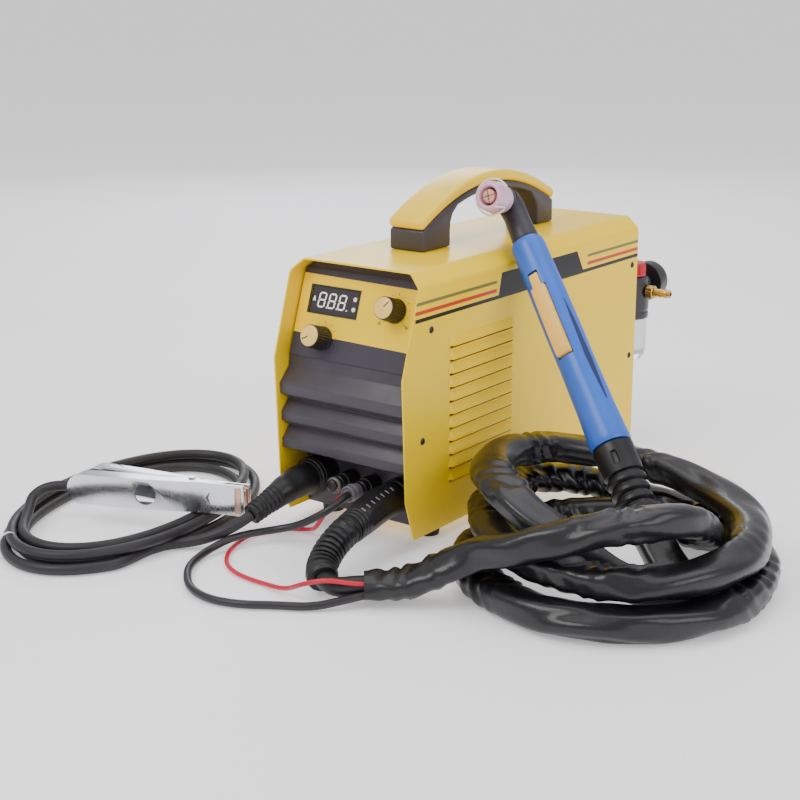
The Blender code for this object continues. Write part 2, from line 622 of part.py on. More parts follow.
# ---------------------------------------------------------------- rear
def make_rear():
    """Black rear panel with a slotted fan grille, switch, gland and air inlet."""
    front = REAR_FACE - REAR_THICKNESS
    panel = inside_block("rear_panel", front, REAR_FACE, FLOOR_TOP)
    for row in range(9):
        z = FAN_Z - 0.032 + 0.008 * row
        half = math.sqrt(max(0.0, 0.036 ** 2 - (z - FAN_Z) ** 2))
        if half > 0.005:
            cut(panel, box(f"grille_slot_{row}", (FAN_X - half, front - 0.002, z - 0.002),
                           (FAN_X + half, REAR_FACE + 0.002, z + 0.002), BLACK))

    size = FAN_SIZE / 2
    near = front - GAP
    frame = box("fan_frame", (FAN_X - size, near - FAN_DEPTH, FAN_Z - size),
                (FAN_X + size, near, FAN_Z + size), BLACK)
    hub = pointing((FAN_X, near, FAN_Z), (0, -1, 0))
    cut(frame, rod("fan_bore", FAN_BORE, 0.0 - 0.002, FAN_DEPTH + 0.002, BLACK, hub, 32))
    join(frame, box("fan_strut_flat", (FAN_X - FAN_BORE - 0.001, near - FAN_DEPTH, FAN_Z - 0.003),
                    (FAN_X + FAN_BORE + 0.001, near - FAN_DEPTH + 0.003, FAN_Z + 0.003), BLACK))
    join(frame, rod("fan_motor_seat", 0.015, FAN_DEPTH - 0.003, FAN_DEPTH, BLACK, hub))
    rotor = rod("fan_rotor", HUB_RADIUS, 0.002, FAN_DEPTH - 0.0036, BLACK, hub)
    for index in range(BLADES):
        turn = Matrix.Rotation(math.tau * index / BLADES, 4, "Z")
        lean = Matrix.Rotation(math.radians(40), 4, "X")
        place = hub @ turn @ Matrix.Translation((0, 0, 0.0115)) @ lean
        join(rotor, box(f"blade_{index}", (HUB_RADIUS - 0.002, -0.0085, -0.0008),
                        (ROTOR_RADIUS, 0.0085, 0.0008), BLACK, place))

    x, z = SWITCH_PLACE
    width, height = SWITCH_SIZE
    inner = ((x - width / 2, front - 0.012, z - height / 2), (x + width / 2, REAR_FACE + 0.003, z + height / 2))
    cut(panel, box("switch_hole", (inner[0][0] - GAP, front - 0.004, inner[0][2] - GAP),
                   (inner[1][0] + GAP, REAR_FACE + 0.004, inner[1][2] + GAP), BLACK))
    body = box("power_switch_body", *inner, BLACK)
    join(body, box("switch_flange", (x - width / 2 - 0.002, REAR_FACE + GAP, z - height / 2 - 0.002),
                   (x + width / 2 + 0.002, REAR_FACE + 0.002, z + height / 2 + 0.002), BLACK))
    cut(body, box("switch_well", (x - 0.0085, REAR_FACE - 0.008, z - 0.0125),
                  (x + 0.0085, REAR_FACE + 0.010, z + 0.0125), BLACK))
    tilt = math.radians(8)
    pivot = Matrix.Translation((x, REAR_FACE - 0.001, z)) @ Matrix.Rotation(tilt, 4, "X")
    rocker = [(-0.0036, -0.0108), (0.0056, -0.0112), (0.0034, 0), (0.0056, 0.0112), (-0.0036, 0.0108)]
    paddle = outline("power_switch_rocker", rocker, 0.0160, RED, Matrix.Identity(4))
    paddle.matrix_basis = pivot @ side_view(0)

    x, z = GLAND_PLACE
    out = pointing((x, REAR_FACE, z), (0, 1, 0))
    cut(panel, rod("gland_hole", GLAND_RADIUS * 0.8 + GAP, -0.01, 0.01, BLACK, out))
    gland = [(0, 0.019), (GLAND_RADIUS * 0.55, 0.020), (GLAND_RADIUS * 0.75, 0.020), (GLAND_RADIUS, 0.012),
             (GLAND_RADIUS, GAP), (GLAND_RADIUS * 0.8, GAP), (GLAND_RADIUS * 0.8, -0.010), (0, -0.010)]
    turned("mains_gland", gland, BLACK, out)


def make_air_set():
    """Filter regulator on a bracket behind the rear panel, with gauge, bowl and hose barb."""
    x, y = REGULATOR_X, REAR + REGULATOR_BACK
    upright = Matrix.Translation((x, y, 0))
    body = rod("regulator_body", REGULATOR_RADIUS, REGULATOR_LOW, REGULATOR_HIGH, BLACK, upright)
    flat = y - REGULATOR_RADIUS + 0.004
    cut(body, box("bracket_flat", (x - 0.03, y - 0.03, REGULATOR_LOW - 0.01),
                  (x + 0.03, flat, REGULATOR_HIGH + 0.01), BLACK))
    plate = box("regulator_bracket", (x - 0.013, REAR_FACE + GAP, REGULATOR_LOW + 0.008),
                (x + 0.013, REAR_FACE + GAP + 0.002, REGULATOR_HIGH + 0.006), STEEL)
    join(plate, rod("bracket_pipe", 0.008, 0.0, flat - GAP - REAR_FACE - GAP, STEEL,
                    pointing((x, REAR_FACE + GAP, REGULATOR_LOW + 0.026), (0, 1, 0))))
    knob = [(0, 0.0145), (0.0125, 0.0145), (0.0140, 0.0125), (0.0140, GAP), (0, GAP)]
    turned("regulator_knob", knob, RED, Matrix.Translation((x, y, REGULATOR_HIGH)))
    bowl = [(0, -GAP), (0.0165, -GAP), (0.0165, -0.036), (0.0120, -0.044), (0.0045, -0.046),
            (0.0045, -0.051), (0, -0.051)]
    turned("regulator_bowl", bowl, CLEAR, Matrix.Translation((x, y, REGULATOR_LOW)))
    back = y + REGULATOR_RADIUS
    face = pointing((x, back, GAUGE_Z), (0, 1, 0))
    gauge = [(0, 0.024), (GAUGE_RADIUS - 0.002, 0.024), (GAUGE_RADIUS, 0.022), (GAUGE_RADIUS, 0.008),
             (0.008, 0.008), (0.0055, 0.0060), (0.0055, GAP * 2), (0, GAP * 2)]
    turned("pressure_gauge", gauge, BLACK, face)
    side = pointing((x + REGULATOR_RADIUS, y, BARB_Z), (1, 0, 0))
    barb = [(0.0020, 0.027), (0.0038, 0.027), (0.0048, 0.021), (0.0040, 0.0205), (0.0048, 0.015),
            (0.0040, 0.0145), (0.0040, 0.0085), (0.0072, 0.0085), (0.0072, GAP * 2), (0.0020, GAP * 2),
            (0.0020, 0.027)]
    turned("hose_barb", barb, BRASS, side)


# ---------------------------------------------------------------- inside the case
def make_inside():
    """What the case holds: power board, finned heat sink, transformer and gas valve."""
    deck = FLOOR_TOP + SHEET
    box("power_board", (-0.060, -0.110, deck + 0.012), (0.060, 0.120, deck + 0.0136), BOARD)
    sink = box("heatsink", (-0.055, -0.060, deck + 0.040), (0.000, 0.080, deck + 0.046), ALUMINIUM)
    fins = box("fins", (-0.0545, -0.060, deck + 0.044), (-0.0520, 0.080, deck + 0.085), ALUMINIUM)
    rows = fins.modifiers.new("rows", "ARRAY")
    rows.count = 7
    rows.use_relative_offset = False
    rows.use_constant_offset = True
    rows.constant_offset_displace = (0.0085, 0, 0)
    rows.merge_threshold = 0.00001
    join(sink, fins)
    join(sink, box("sink_leg", (-0.055, -0.060, deck + 0.0139), (-0.049, 0.080, deck + 0.042), ALUMINIUM))
    box("transformer", (0.012, -0.050, deck + 0.0139), (0.058, 0.010, deck + 0.060), COPPER, bevel=0.004)
    valve = box("gas_valve", (0.022, REAR - 0.0795, 0.130), (0.050, REAR - 0.0395, 0.158), BRASS, bevel=0.002)
    join(valve, rod("valve_coil", 0.011, 0.0, 0.030, BRASS, Matrix.Translation((0.036, REAR - 0.0595, 0.157))))


# ---------------------------------------------------------------- plugs and leads
def make_plugs():
    """Plugs that stand in the front sockets, with their rubber sleeves."""
    def pinned(name, x, proud, pin, shape, look):
        """A turned plug seated on a socket's face, with a pin down its bore."""
        start = proud + GAP
        profile = [(0, shape[-1][1])] + list(shape[::-1]) + [(pin, start), (pin, -0.002), (0, -0.002)]
        return turned(name, profile, look, port_frame(x))

    earth = pinned("earth_plug", EARTH_PORT_X, 0.0090, 0.0052,
                   [(0.0172, 0.0093), (0.0172, 0.0220), (0.0150, 0.0250)], RUBBER)
    start = Vector((EARTH_PORT_X, PORT_FACE - 0.0240, PORT_HEIGHT))
    sleeve = [start, start + Vector((0, -0.014, 0)), start + Vector((-0.0005, -0.032, -0.0030)),
              start + Vector((-0.0015, -0.050, -0.0080)), start + Vector((-0.0035, -0.066, -0.0135)),
              start + Vector((-0.0043, -0.0728, -0.0160))]
    taper = [0.0145, 0.0145, 0.0130, 0.0105, 0.0090, 0.0085]
    join(earth, tube("earth_sleeve", sleeve, 0.0145, RUBBER, 3, taper))

    pinned("control_plug_left", CONTROL_PORTS_X[0], 0.0060, 0.0025,
           [(0.0085, 0.0063), (0.0085, 0.0160), (0.0070, 0.0165), (0.0070, 0.0260), (0.0075, 0.0262),
            (0.0075, 0.0330)], BLACK)
    pinned("control_plug_right", CONTROL_PORTS_X[1], 0.0060, 0.0025,
           [(0.0085, 0.0063), (0.0085, 0.0160), (0.0070, 0.0165), (0.0070, 0.0330), (0.0078, 0.0332),
            (0.0078, CONTROL_PLUG_LENGTH)], BLACK)

    torch = pinned("torch_plug", TORCH_PORT_X, 0.0080, 0.0042,
                   [(0.0150, 0.0083), (0.0150, 0.0200)], RUBBER)
    start = Vector((TORCH_PORT_X, PORT_FACE - 0.0190, PORT_HEIGHT))
    grip = [start, start + Vector((0.0010, -0.020, -0.0010)), start + Vector((0.0040, -0.045, -0.0030)),
            start + Vector((0.0080, -0.073, -0.0060))]
    join(torch, tube("torch_grip", grip, 0.0140, RUBBER, 3, [0.0140, 0.0148, 0.0150, 0.0135]))
    end = grip[-1]
    ahead = (grip[-1] - grip[-2]).normalized()
    bend = [end + ahead * 0.0005, end + ahead * 0.010, end + Vector((0.0018, -0.026, -0.0080)),
            end + Vector((0.0050, -0.040, -0.0150)),
            end + Vector((0.0110, -0.051, -0.0190)), end + Vector((0.0190, -0.0575, -0.0215))]
    tube("torch_bend_boot", bend, 0.0130, RUBBER, 3, [0.0130, 0.0130, 0.0130, 0.0130, 0.0130, 0.0135])
    return bend[-1], bend[-1] - bend[-2], sleeve[-1], sleeve[-1] - sleeve[-2]


def lead_from(start, heading, route, spacing):
    """A lead's points: straight out of its sleeve for a moment, then smoothly along its route."""
    step = heading.normalized()
    return [start + step * 2 * GAP] + smooth([start + step * 0.004] + [Vector(p) for p in route], spacing)


def oval_ring(name, place, half, turn, width, height, look, edge, slope, steps=40):
    """A flat coil's outer shape: a turned ring, drawn out to an oval and turned on the spot."""
    outer = half[0]
    inner = outer - width
    profile = [(outer - slope, height), (outer, edge), (outer, 0.0), (inner, 0.0), (inner, height),
               (outer - slope, height)]
    stretch = Matrix.Diagonal((1, half[1] / half[0], 1, 1))
    stand = Matrix.Translation((*place, 0)) @ Matrix.Rotation(turn, 4, "Z") @ stretch
    return turned(name, profile, look, stand, steps)


def make_leads(hose_exit, hose_heading, earth_exit, earth_heading):
    """The free leads: earth cable and coil, torch hose and coil, the two thin wires."""
    tube("earth_cable", lead_from(earth_exit, earth_heading, EARTH_ROUTE, 0.012), EARTH_CABLE_RADIUS, RUBBER)
    oval_ring("earth_coil", EARTH_COIL_PLACE, EARTH_COIL_HALF, EARTH_COIL_TURN, EARTH_COIL_WIDTH,
              EARTH_COIL_HEIGHT, RUBBER, EARTH_CABLE_RADIUS * 2, EARTH_CABLE_RADIUS)
    points = lead_from(hose_exit, hose_heading, HOSE_ROUTE, 0.014)
    mouth = Vector(SHEATH_START)
    first = min(range(len(points)), key=lambda i: (points[i] - mouth).length)
    radii = [BARE_HOSE_RADIUS if i < first else HOSE_RADIUS for i in range(len(points))]
    lip = points[first] + (points[first - 1] - points[first]).normalized() * 0.001
    points.insert(first, lip)
    radii.insert(first, BARE_HOSE_RADIUS)
    tube("torch_hose", points, HOSE_RADIUS, LEATHER, 3, radii)
    oval_ring("torch_coil", HOSE_COIL_PLACE, HOSE_COIL_HALF, HOSE_COIL_TURN, HOSE_COIL_WIDTH,
              HOSE_COIL_HEIGHT, LEATHER, HOSE_COIL_EDGE, HOSE_COIL_SLOPE)
    tail = Vector((CONTROL_PORTS_X[1], PORT_FACE - CONTROL_PLUG_LENGTH, PORT_HEIGHT))
    start = tail + Vector((-0.0045, 0, -0.0020))
    tube("pilot_wire", lead_from(start, FRONT_DIRECTION, PILOT_ROUTE, 0.009), PILOT_WIRE_RADIUS, RED)
    start = tail + Vector((0.0022, 0, 0.0005))
    tube("trigger_wire", lead_from(start, FRONT_DIRECTION, TRIGGER_ROUTE, 0.014), TRIGGER_WIRE_RADIUS, RUBBER)


def make_cable_tie():
    """Nylon tie round the bundle on the near left of the earth coil."""
    turn = EARTH_COIL_TURN
    at = math.radians(238)
    half = Vector(EARTH_COIL_HALF)
    middle = Vector((1 - EARTH_COIL_WIDTH / 2 / half.x,) * 2)
    local = Vector((half.x * middle.x * math.cos(at), half.y * middle.y * math.sin(at)))
    along = Vector((-half.x * math.sin(at), half.y * math.cos(at)))
    spot = Matrix.Rotation(turn, 2) @ local + Vector(EARTH_COIL_PLACE)
    along = Matrix.Rotation(turn, 2) @ along
    heading = Matrix.Rotation(math.atan2(along.y, along.x), 4, "Z")
    place = Matrix.Translation((*spot, EARTH_COIL_HEIGHT / 2)) @ heading
    wide, high = 0.0250, EARTH_COIL_HEIGHT / 2 + GAP
    box("cable_tie", (-0.0018, -wide, high), (0.0018, wide, high + 0.0012), WHITE, place)


# ---------------------------------------------------------------- earth clamp
def clamp_frame():
    """Local X along the clamp towards its mouth, Y across it towards the near jaw, Z up."""
    turn = Matrix.Rotation(CLAMP_HEADING, 4, "Z") @ Matrix.Rotation(math.radians(180), 4, "X")
    return Matrix.Translation(CLAMP_PLACE) @ turn


def jaw(name, width, depth):
    """One jaw: a bent sheet channel, its back away from the other jaw, on the +Y side."""
    back = [(0.0, 0.0235), (0.060, 0.0190), (0.108, 0.0125), (0.140, 0.0075), (CLAMP_LENGTH, 0.0075)]
    edge = [(CLAMP_LENGTH, 0.0055), (0.146, 0.0055), (0.128, 0.0100 - depth), (0.100, 0.0115 - depth),
            (0.0, 0.0225 - depth)]
    piece = outline(name, back[::-1] + edge[::-1], width, STEEL, clamp_frame())
    hollow = ([(x, y - CLAMP_SHEET) for x, y in back[:4]][::-1]
              + [(-0.01, 0.0235 - CLAMP_SHEET), (-0.01, -0.03), (0.136, -0.03)])
    inside = outline(name + "_hollow", hollow, width - 2 * CLAMP_SHEET, STEEL, clamp_frame())
    return cut(piece, inside)


def make_clamp():
    """Sprung sheet clamp lying on its side on the earth coil."""
    near = jaw("clamp_near_jaw", CLAMP_WIDTH, 0.013)
    far = jaw("clamp_far_jaw", CLAMP_WIDTH - 2 * CLAMP_SHEET - 0.0012, 0.013)
    flip = Matrix.Rotation(math.pi, 4, "X")
    pivot = clamp_frame() @ Matrix.Translation((CLAMP_PIVOT, 0, 0))
    for modifier in far.modifiers:
        modifier.object.matrix_basis = clamp_frame() @ flip
    far.matrix_basis = clamp_frame() @ flip
    pin_radius = 0.0030
    for piece in (near, far):
        cut(piece, rod(piece.name + "_pin_hole", pin_radius + GAP, -0.02, 0.02, STEEL, pivot, 16))
    cut(near, rod("clamp_window", 0.0060, -0.01, 0.01, STEEL,
                  clamp_frame() @ pointing((0.074, 0.020, 0), (0, 1, 0)), 20))
    rod("clamp_pin", pin_radius, -CLAMP_WIDTH / 2 - 0.0015, CLAMP_WIDTH / 2 + 0.0015, STEEL, pivot, 16)
    ring("clamp_spring", 0.0058, pin_radius + GAP, -0.0080, 0.0080, STEEL, pivot, 16)
    for name, side in (("clamp_near_contact", 1), ("clamp_far_contact", -1)):
        low = min(side * 0.0012, side * 0.0052)
        high = max(side * 0.0012, side * 0.0052)
        box(name, (0.148, low, -0.009), (CLAMP_LENGTH - 0.0005, high, 0.009), COPPER, clamp_frame())


# ---------------------------------------------------------------- torch
def torch_frame():
    """Local Z up the handle from its lower end, X towards the side that the nozzle faces."""
    axis = Vector(TORCH_AXIS).normalized()
    up = -axis
    facing = Vector(NOZZLE_AXIS).normalized()
    across = (facing - up * facing.dot(up)).normalized()
    third = up.cross(across)
    foot = Vector(TORCH_TOP) + axis * TORCH_HANDLE_LENGTH
    rows = [(across[i], third[i], up[i], foot[i]) for i in range(3)]
    return Matrix(rows + [(0, 0, 0, 1)])


def make_torch():
    """Hand torch: boot, handle with a trigger, bent head, ceramic nozzle, tip and spacer."""
    frame = torch_frame()
    length = TORCH_HANDLE_LENGTH
    boot = [(0, -GAP), (0.0178, -GAP), (0.0176, -0.022), (0.0165, -0.040), (0.0155, -TORCH_BOOT_LENGTH),
            (0, -TORCH_BOOT_LENGTH)]
    turned("torch_boot", boot, RUBBER, frame)
    shell = [(0, length), (0.0146, length), (0.0155, length - 0.030), (0.0164, length * 0.5),
             (0.0172, 0.020), (0.0178, 0.0), (0, 0.0)]
    handle = turned("torch_handle", shell, BLUE, frame, 28)
    slot_low, slot_high = TRIGGER_LOW - 0.001, TRIGGER_HIGH + 0.001
    wide = TRIGGER_WIDTH / 2 + 0.0006
    cut(handle, box("trigger_recess", (0.0070, -wide, slot_low), (0.0250, wide, slot_high), BLUE, frame))
    half = TRIGGER_WIDTH / 2
    lever = [(0.0120, TRIGGER_HIGH), (0.0178, TRIGGER_HIGH - 0.004), (0.0195, TRIGGER_HIGH - 0.030),
             (0.0208, TRIGGER_LOW + 0.020), (0.0205, TRIGGER_LOW + 0.002), (0.0190, TRIGGER_LOW),
             (0.0135, TRIGGER_LOW)]
    flat = Matrix(((1, 0, 0, 0), (0, 0, -1, 0), (0, 1, 0, 0), (0, 0, 0, 1)))
    outline("torch_trigger", lever, 2 * half, YELLOW, frame @ flat)

    facing = Vector(NOZZLE_AXIS).normalized()
    local = frame.to_3x3().inverted() @ facing
    start = Vector((0, 0, length + GAP))
    elbow = Vector((0, 0, length + 0.046))
    end = elbow + local * 0.0165
    neck = [start, start + Vector((0, 0, 0.022)), start + Vector((0, 0, 0.033)),
            elbow + local * 0.0005 - Vector((0, 0, 0.0065)), elbow + local * 0.0045, end]
    neck = [frame @ p for p in neck]
    tube("torch_head", neck, 0.0120, RUBBER, 3, [0.0125, 0.0115, 0.0118, 0.0118, 0.0118, 0.0112])
    nose = pointing(frame @ end, facing)
    cup = [(0.0080, 0.0250), (0.0128, 0.0250), (0.0145, 0.0230), (0.0145, 0.0110), (0.0125, 0.0040),
           (0.0125, GAP), (0.0080, GAP), (0.0080, 0.0250)]
    turned("torch_nozzle", cup, PINK, nose)
    tip = [(0, 0.0242), (0.0022, 0.0242), (0.0050, 0.0205), (0.0064, 0.0200), (0.0064, GAP), (0, GAP)]
    turned("torch_tip", tip, COPPER, nose, 20)
    wire = 0.0010
    radius = 0.0145 + wire + GAP * 2
    loop = [Vector((radius * math.cos(a), radius * math.sin(a), 0.0170))
            for a in [math.radians(40 + 320 * i / 20) for i in range(19)]]
    lead_in = loop[0] + Vector((0.001, 0.001, 0.0180))
    lead_out = loop[-1] + Vector((0.001, -0.001, 0.0180))
    tube("torch_spacer", [nose @ p for p in [lead_in] + loop + [lead_out]], wire, WHITE, 1)

    axis = Vector(TORCH_AXIS).normalized()
    foot = frame @ Vector((0, 0, -TORCH_BOOT_LENGTH - GAP))
    tail = [foot, foot + axis * 0.012, foot + axis * 0.026 + Vector((0.002, -0.001, 0.002)),
            foot + Vector((0.0290, -0.0150, -0.0310)), foot + Vector((0.0380, -0.0195, -0.0345))]
    tube("torch_tail", tail, 0.0150, LEATHER, 3)


bezel_piece = make_front()
make_cover()
make_base()
make_ports(bezel_piece)
make_handle()
make_rear()
make_air_set()
make_inside()
make_leads(*make_plugs())
make_cable_tie()
make_clamp()
make_torch()
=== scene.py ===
# %% [markdown]
# A portable plasma cutter: a folded yellow case with a slanted control front, a hand torch on a
# sheathed hose, an earth lead with a sprung clamp and an air regulator behind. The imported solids
# are the fixed frame, and each piece below is built round them, in metres, in the same place.

# %% The frame
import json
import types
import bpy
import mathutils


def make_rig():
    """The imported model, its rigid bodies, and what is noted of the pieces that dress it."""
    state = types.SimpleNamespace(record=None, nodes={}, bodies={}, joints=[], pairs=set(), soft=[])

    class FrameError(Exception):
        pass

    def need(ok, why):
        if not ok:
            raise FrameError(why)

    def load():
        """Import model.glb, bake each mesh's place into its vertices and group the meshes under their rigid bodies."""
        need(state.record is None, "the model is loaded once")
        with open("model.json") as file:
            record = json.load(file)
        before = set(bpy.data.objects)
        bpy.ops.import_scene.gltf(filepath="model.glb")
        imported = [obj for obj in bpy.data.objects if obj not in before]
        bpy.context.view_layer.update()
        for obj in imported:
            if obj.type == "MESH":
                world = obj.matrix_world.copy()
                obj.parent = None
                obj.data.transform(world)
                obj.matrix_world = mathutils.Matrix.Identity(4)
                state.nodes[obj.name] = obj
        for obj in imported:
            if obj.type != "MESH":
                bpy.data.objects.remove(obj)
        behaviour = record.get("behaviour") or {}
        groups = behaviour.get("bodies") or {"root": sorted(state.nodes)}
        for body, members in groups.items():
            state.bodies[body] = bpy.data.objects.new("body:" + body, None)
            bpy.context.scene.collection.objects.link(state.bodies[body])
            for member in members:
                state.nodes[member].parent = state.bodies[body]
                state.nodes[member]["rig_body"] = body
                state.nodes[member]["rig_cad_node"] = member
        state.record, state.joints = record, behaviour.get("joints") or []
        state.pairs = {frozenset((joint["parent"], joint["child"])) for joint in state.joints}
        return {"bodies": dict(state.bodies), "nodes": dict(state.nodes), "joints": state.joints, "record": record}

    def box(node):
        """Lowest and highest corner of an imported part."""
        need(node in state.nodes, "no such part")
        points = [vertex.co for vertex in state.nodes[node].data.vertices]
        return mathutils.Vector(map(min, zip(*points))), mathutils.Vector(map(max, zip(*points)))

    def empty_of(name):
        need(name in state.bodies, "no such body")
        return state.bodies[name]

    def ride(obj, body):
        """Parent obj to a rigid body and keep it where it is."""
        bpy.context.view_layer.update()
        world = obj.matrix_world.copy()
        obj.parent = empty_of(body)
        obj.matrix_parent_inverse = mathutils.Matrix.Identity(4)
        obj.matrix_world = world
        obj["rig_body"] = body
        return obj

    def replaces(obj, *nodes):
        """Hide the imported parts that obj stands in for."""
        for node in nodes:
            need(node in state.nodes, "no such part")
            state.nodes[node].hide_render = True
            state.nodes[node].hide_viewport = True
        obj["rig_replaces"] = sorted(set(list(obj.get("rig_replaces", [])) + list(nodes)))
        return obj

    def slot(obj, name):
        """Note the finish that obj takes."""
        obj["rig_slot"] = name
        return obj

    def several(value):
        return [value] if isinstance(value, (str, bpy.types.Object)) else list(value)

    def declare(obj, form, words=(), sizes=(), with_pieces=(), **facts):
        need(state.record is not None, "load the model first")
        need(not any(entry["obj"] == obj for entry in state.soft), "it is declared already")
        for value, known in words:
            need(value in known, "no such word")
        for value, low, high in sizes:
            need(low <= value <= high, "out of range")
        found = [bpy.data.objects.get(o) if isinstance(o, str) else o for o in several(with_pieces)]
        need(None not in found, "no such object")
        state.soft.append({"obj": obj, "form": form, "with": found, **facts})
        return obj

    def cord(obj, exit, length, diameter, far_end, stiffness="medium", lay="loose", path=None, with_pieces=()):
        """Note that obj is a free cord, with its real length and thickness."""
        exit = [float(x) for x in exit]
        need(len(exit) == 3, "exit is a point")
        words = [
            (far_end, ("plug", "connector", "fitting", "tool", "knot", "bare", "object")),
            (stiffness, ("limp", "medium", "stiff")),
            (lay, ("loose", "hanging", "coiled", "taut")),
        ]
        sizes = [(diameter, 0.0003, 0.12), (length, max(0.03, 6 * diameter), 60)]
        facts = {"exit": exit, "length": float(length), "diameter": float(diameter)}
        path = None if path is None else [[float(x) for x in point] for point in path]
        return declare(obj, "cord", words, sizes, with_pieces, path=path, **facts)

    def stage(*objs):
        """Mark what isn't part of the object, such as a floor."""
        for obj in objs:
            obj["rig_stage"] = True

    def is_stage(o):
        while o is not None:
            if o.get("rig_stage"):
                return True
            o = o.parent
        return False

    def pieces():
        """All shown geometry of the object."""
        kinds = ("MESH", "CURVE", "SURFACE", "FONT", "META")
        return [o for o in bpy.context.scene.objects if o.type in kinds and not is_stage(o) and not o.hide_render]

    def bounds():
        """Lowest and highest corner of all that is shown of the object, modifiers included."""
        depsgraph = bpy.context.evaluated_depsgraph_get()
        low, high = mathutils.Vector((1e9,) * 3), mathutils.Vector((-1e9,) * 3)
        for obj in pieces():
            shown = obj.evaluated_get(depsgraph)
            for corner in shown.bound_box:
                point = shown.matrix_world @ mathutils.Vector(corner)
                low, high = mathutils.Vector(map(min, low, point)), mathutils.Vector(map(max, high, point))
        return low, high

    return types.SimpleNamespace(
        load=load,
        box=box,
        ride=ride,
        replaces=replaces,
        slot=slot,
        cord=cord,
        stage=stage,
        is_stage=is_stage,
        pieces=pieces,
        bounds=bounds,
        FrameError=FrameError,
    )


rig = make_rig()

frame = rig.load()

import json
from math import copysign, cos, pi, radians, sin, tau

import bmesh
import bpy
from mathutils import Matrix, Vector, noise

packed_box = [list(corner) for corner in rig.bounds()]


def mm(rows):
    """Rows of millimetres as metres."""
    return [mm(row) if isinstance(row, (list, tuple)) else row / 1000 for row in rows]


cover_low, cover_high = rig.box("cover")
MACHINE = Vector(((cover_low.x + cover_high.x) / 2, (cover_low.y + cover_high.y) / 2, 0))
print("packed box", packed_box, "machine centre", MACHINE)

# %% [markdown]
# Lengths below are measured from the machine's own centre on the floor: x to the torch's side,
# y to the rear, z up. One offset carries them to the frame. Repeating the case's sizes here keeps
# every piece on the same edges as the solid it stands for.

# %% Sizes shared by several pieces
HALF_WIDTH = 0.0707
FRONT, REAR = -0.1995, 0.1995
CASE_LOW, CASE_TOP = 0.010, 0.240
SHEET = 0.0015
CHAMFER_WIDTH, CHAMFER_HEIGHT = 0.0124, 0.0115
PANEL_LEAN = radians(19.06)
PANEL_LENGTH = 0.0790
PANEL_DOWN = Vector((0, -sin(PANEL_LEAN), -cos(PANEL_LEAN)))
PANEL_OUT = Vector((0, -cos(PANEL_LEAN), sin(PANEL_LEAN)))
PANEL_TOP = Vector((0, FRONT + 0.0429, CASE_TOP - 0.0104))
PORT_FACE = FRONT + 0.0415
PORT_HEIGHT = 0.043
REAR_FACE = REAR - 0.006
print("case", 2 * HALF_WIDTH, REAR - FRONT, CASE_TOP - CASE_LOW)


# %% [markdown]
# Finishes are node trees. A colour is given by its hex code, one call adds a node with its
# settings and links, and another adds a list of nodes by name, so that a whole tree reads as rows.

# %% Colours and shader nodes
def colour(code):
    """An sRGB hex colour as linear values, which is what shaders work in."""
    parts = [int(code[i:i + 2], 16) / 255 for i in (1, 3, 5)]
    return tuple(c / 12.92 if c <= 0.04045 else ((c + 0.055) / 1.055) ** 2.4 for c in parts) + (1.0,)


def add_node(tree, kind, sets=None, links=None):
    """Add a node; sets are its properties, links its inputs, each a value or another socket."""
    made = tree.nodes.new(kind)
    for key, value in (sets or {}).items():
        setattr(made, key, value)
    for key, value in (links or {}).items():
        if isinstance(value, bpy.types.NodeSocket):
            tree.links.new(value, made.inputs[key])
        else:
            made.inputs[key].default_value = value
    return made


def wire(tree, rows, **sockets):
    """Add nodes row by row: label, kind, settings, inputs and output. An input that names the label of
    an earlier row takes its output. A row of four is arithmetic: label, operation and two inputs."""
    for row in rows:
        if len(row) == 4:
            row = (row[0], "ShaderNodeMath", {"operation": row[1]}, {0: row[2], 1: row[3]}, 0)
        label, kind, sets, links, output = row
        given = {key: sockets.get(value, value) if isinstance(value, str) else value
                 for key, value in links.items()}
        sockets[label] = add_node(tree, kind, sets, given).outputs[output]
    return sockets


def new_material(name, values):
    """A Principled material with some of its own sockets set."""
    made = bpy.data.materials.new(name)
    made.use_nodes = True
    shader = made.node_tree.nodes["Principled BSDF"]
    for key, value in values.items():
        shader.inputs[key].default_value = value
    return made, made.node_tree, shader


print("node helpers ready")

# %% [markdown]
# Nearly every real surface drifts a little in tone and gloss and has a fine grain. One function
# builds all of that, read from the piece's own object coordinates. A second one gives small parts
# no more than a faint drift.


# %% Two finishes that the others build on
def surface(name, values, tones, cloud, gloss, grain, relief, vary="cloud", stretch=(1, 1, 1),
        span=(0.3, 0.7)):
    """A finish: two tones in soft clouds, gloss that varies over gloss[0] to gloss[1], and a fine grain in
    relief. cloud and grain are (noise scale, detail), relief is (strength, depth in metres)."""
    made, tree, shader = new_material(name, values)
    found = wire(tree, [
        ("place", "ShaderNodeTexCoord", {}, {}, "Object"),
        ("along", "ShaderNodeMapping", {}, {"Vector": "place", "Scale": stretch}, 0),
        ("cloud", "ShaderNodeTexNoise", {}, {"Vector": "place", "Scale": cloud[0], "Detail": cloud[1]}, 0),
        ("grain", "ShaderNodeTexNoise", {}, {"Vector": "along", "Scale": grain[0], "Detail": grain[1]}, 0),
        ("tone", "ShaderNodeMix", {"data_type": "RGBA"},
         {0: "cloud", 6: colour(tones[0]), 7: colour(tones[1])}, 2),
        ("gloss", "ShaderNodeMapRange", {}, {"Value": vary, "From Min": span[0], "From Max": span[1],
                                             "To Min": gloss[0], "To Max": gloss[1]}, 0),
        ("relief", "ShaderNodeBump", {},
         {"Height": "grain", "Strength": relief[0], "Distance": relief[1]}, 0)])
    for label, socket in (("tone", "Base Color"), ("gloss", "Roughness"), ("relief", "Normal")):
        tree.links.new(found[label], shader.inputs[socket])
    return made, tree, shader, found


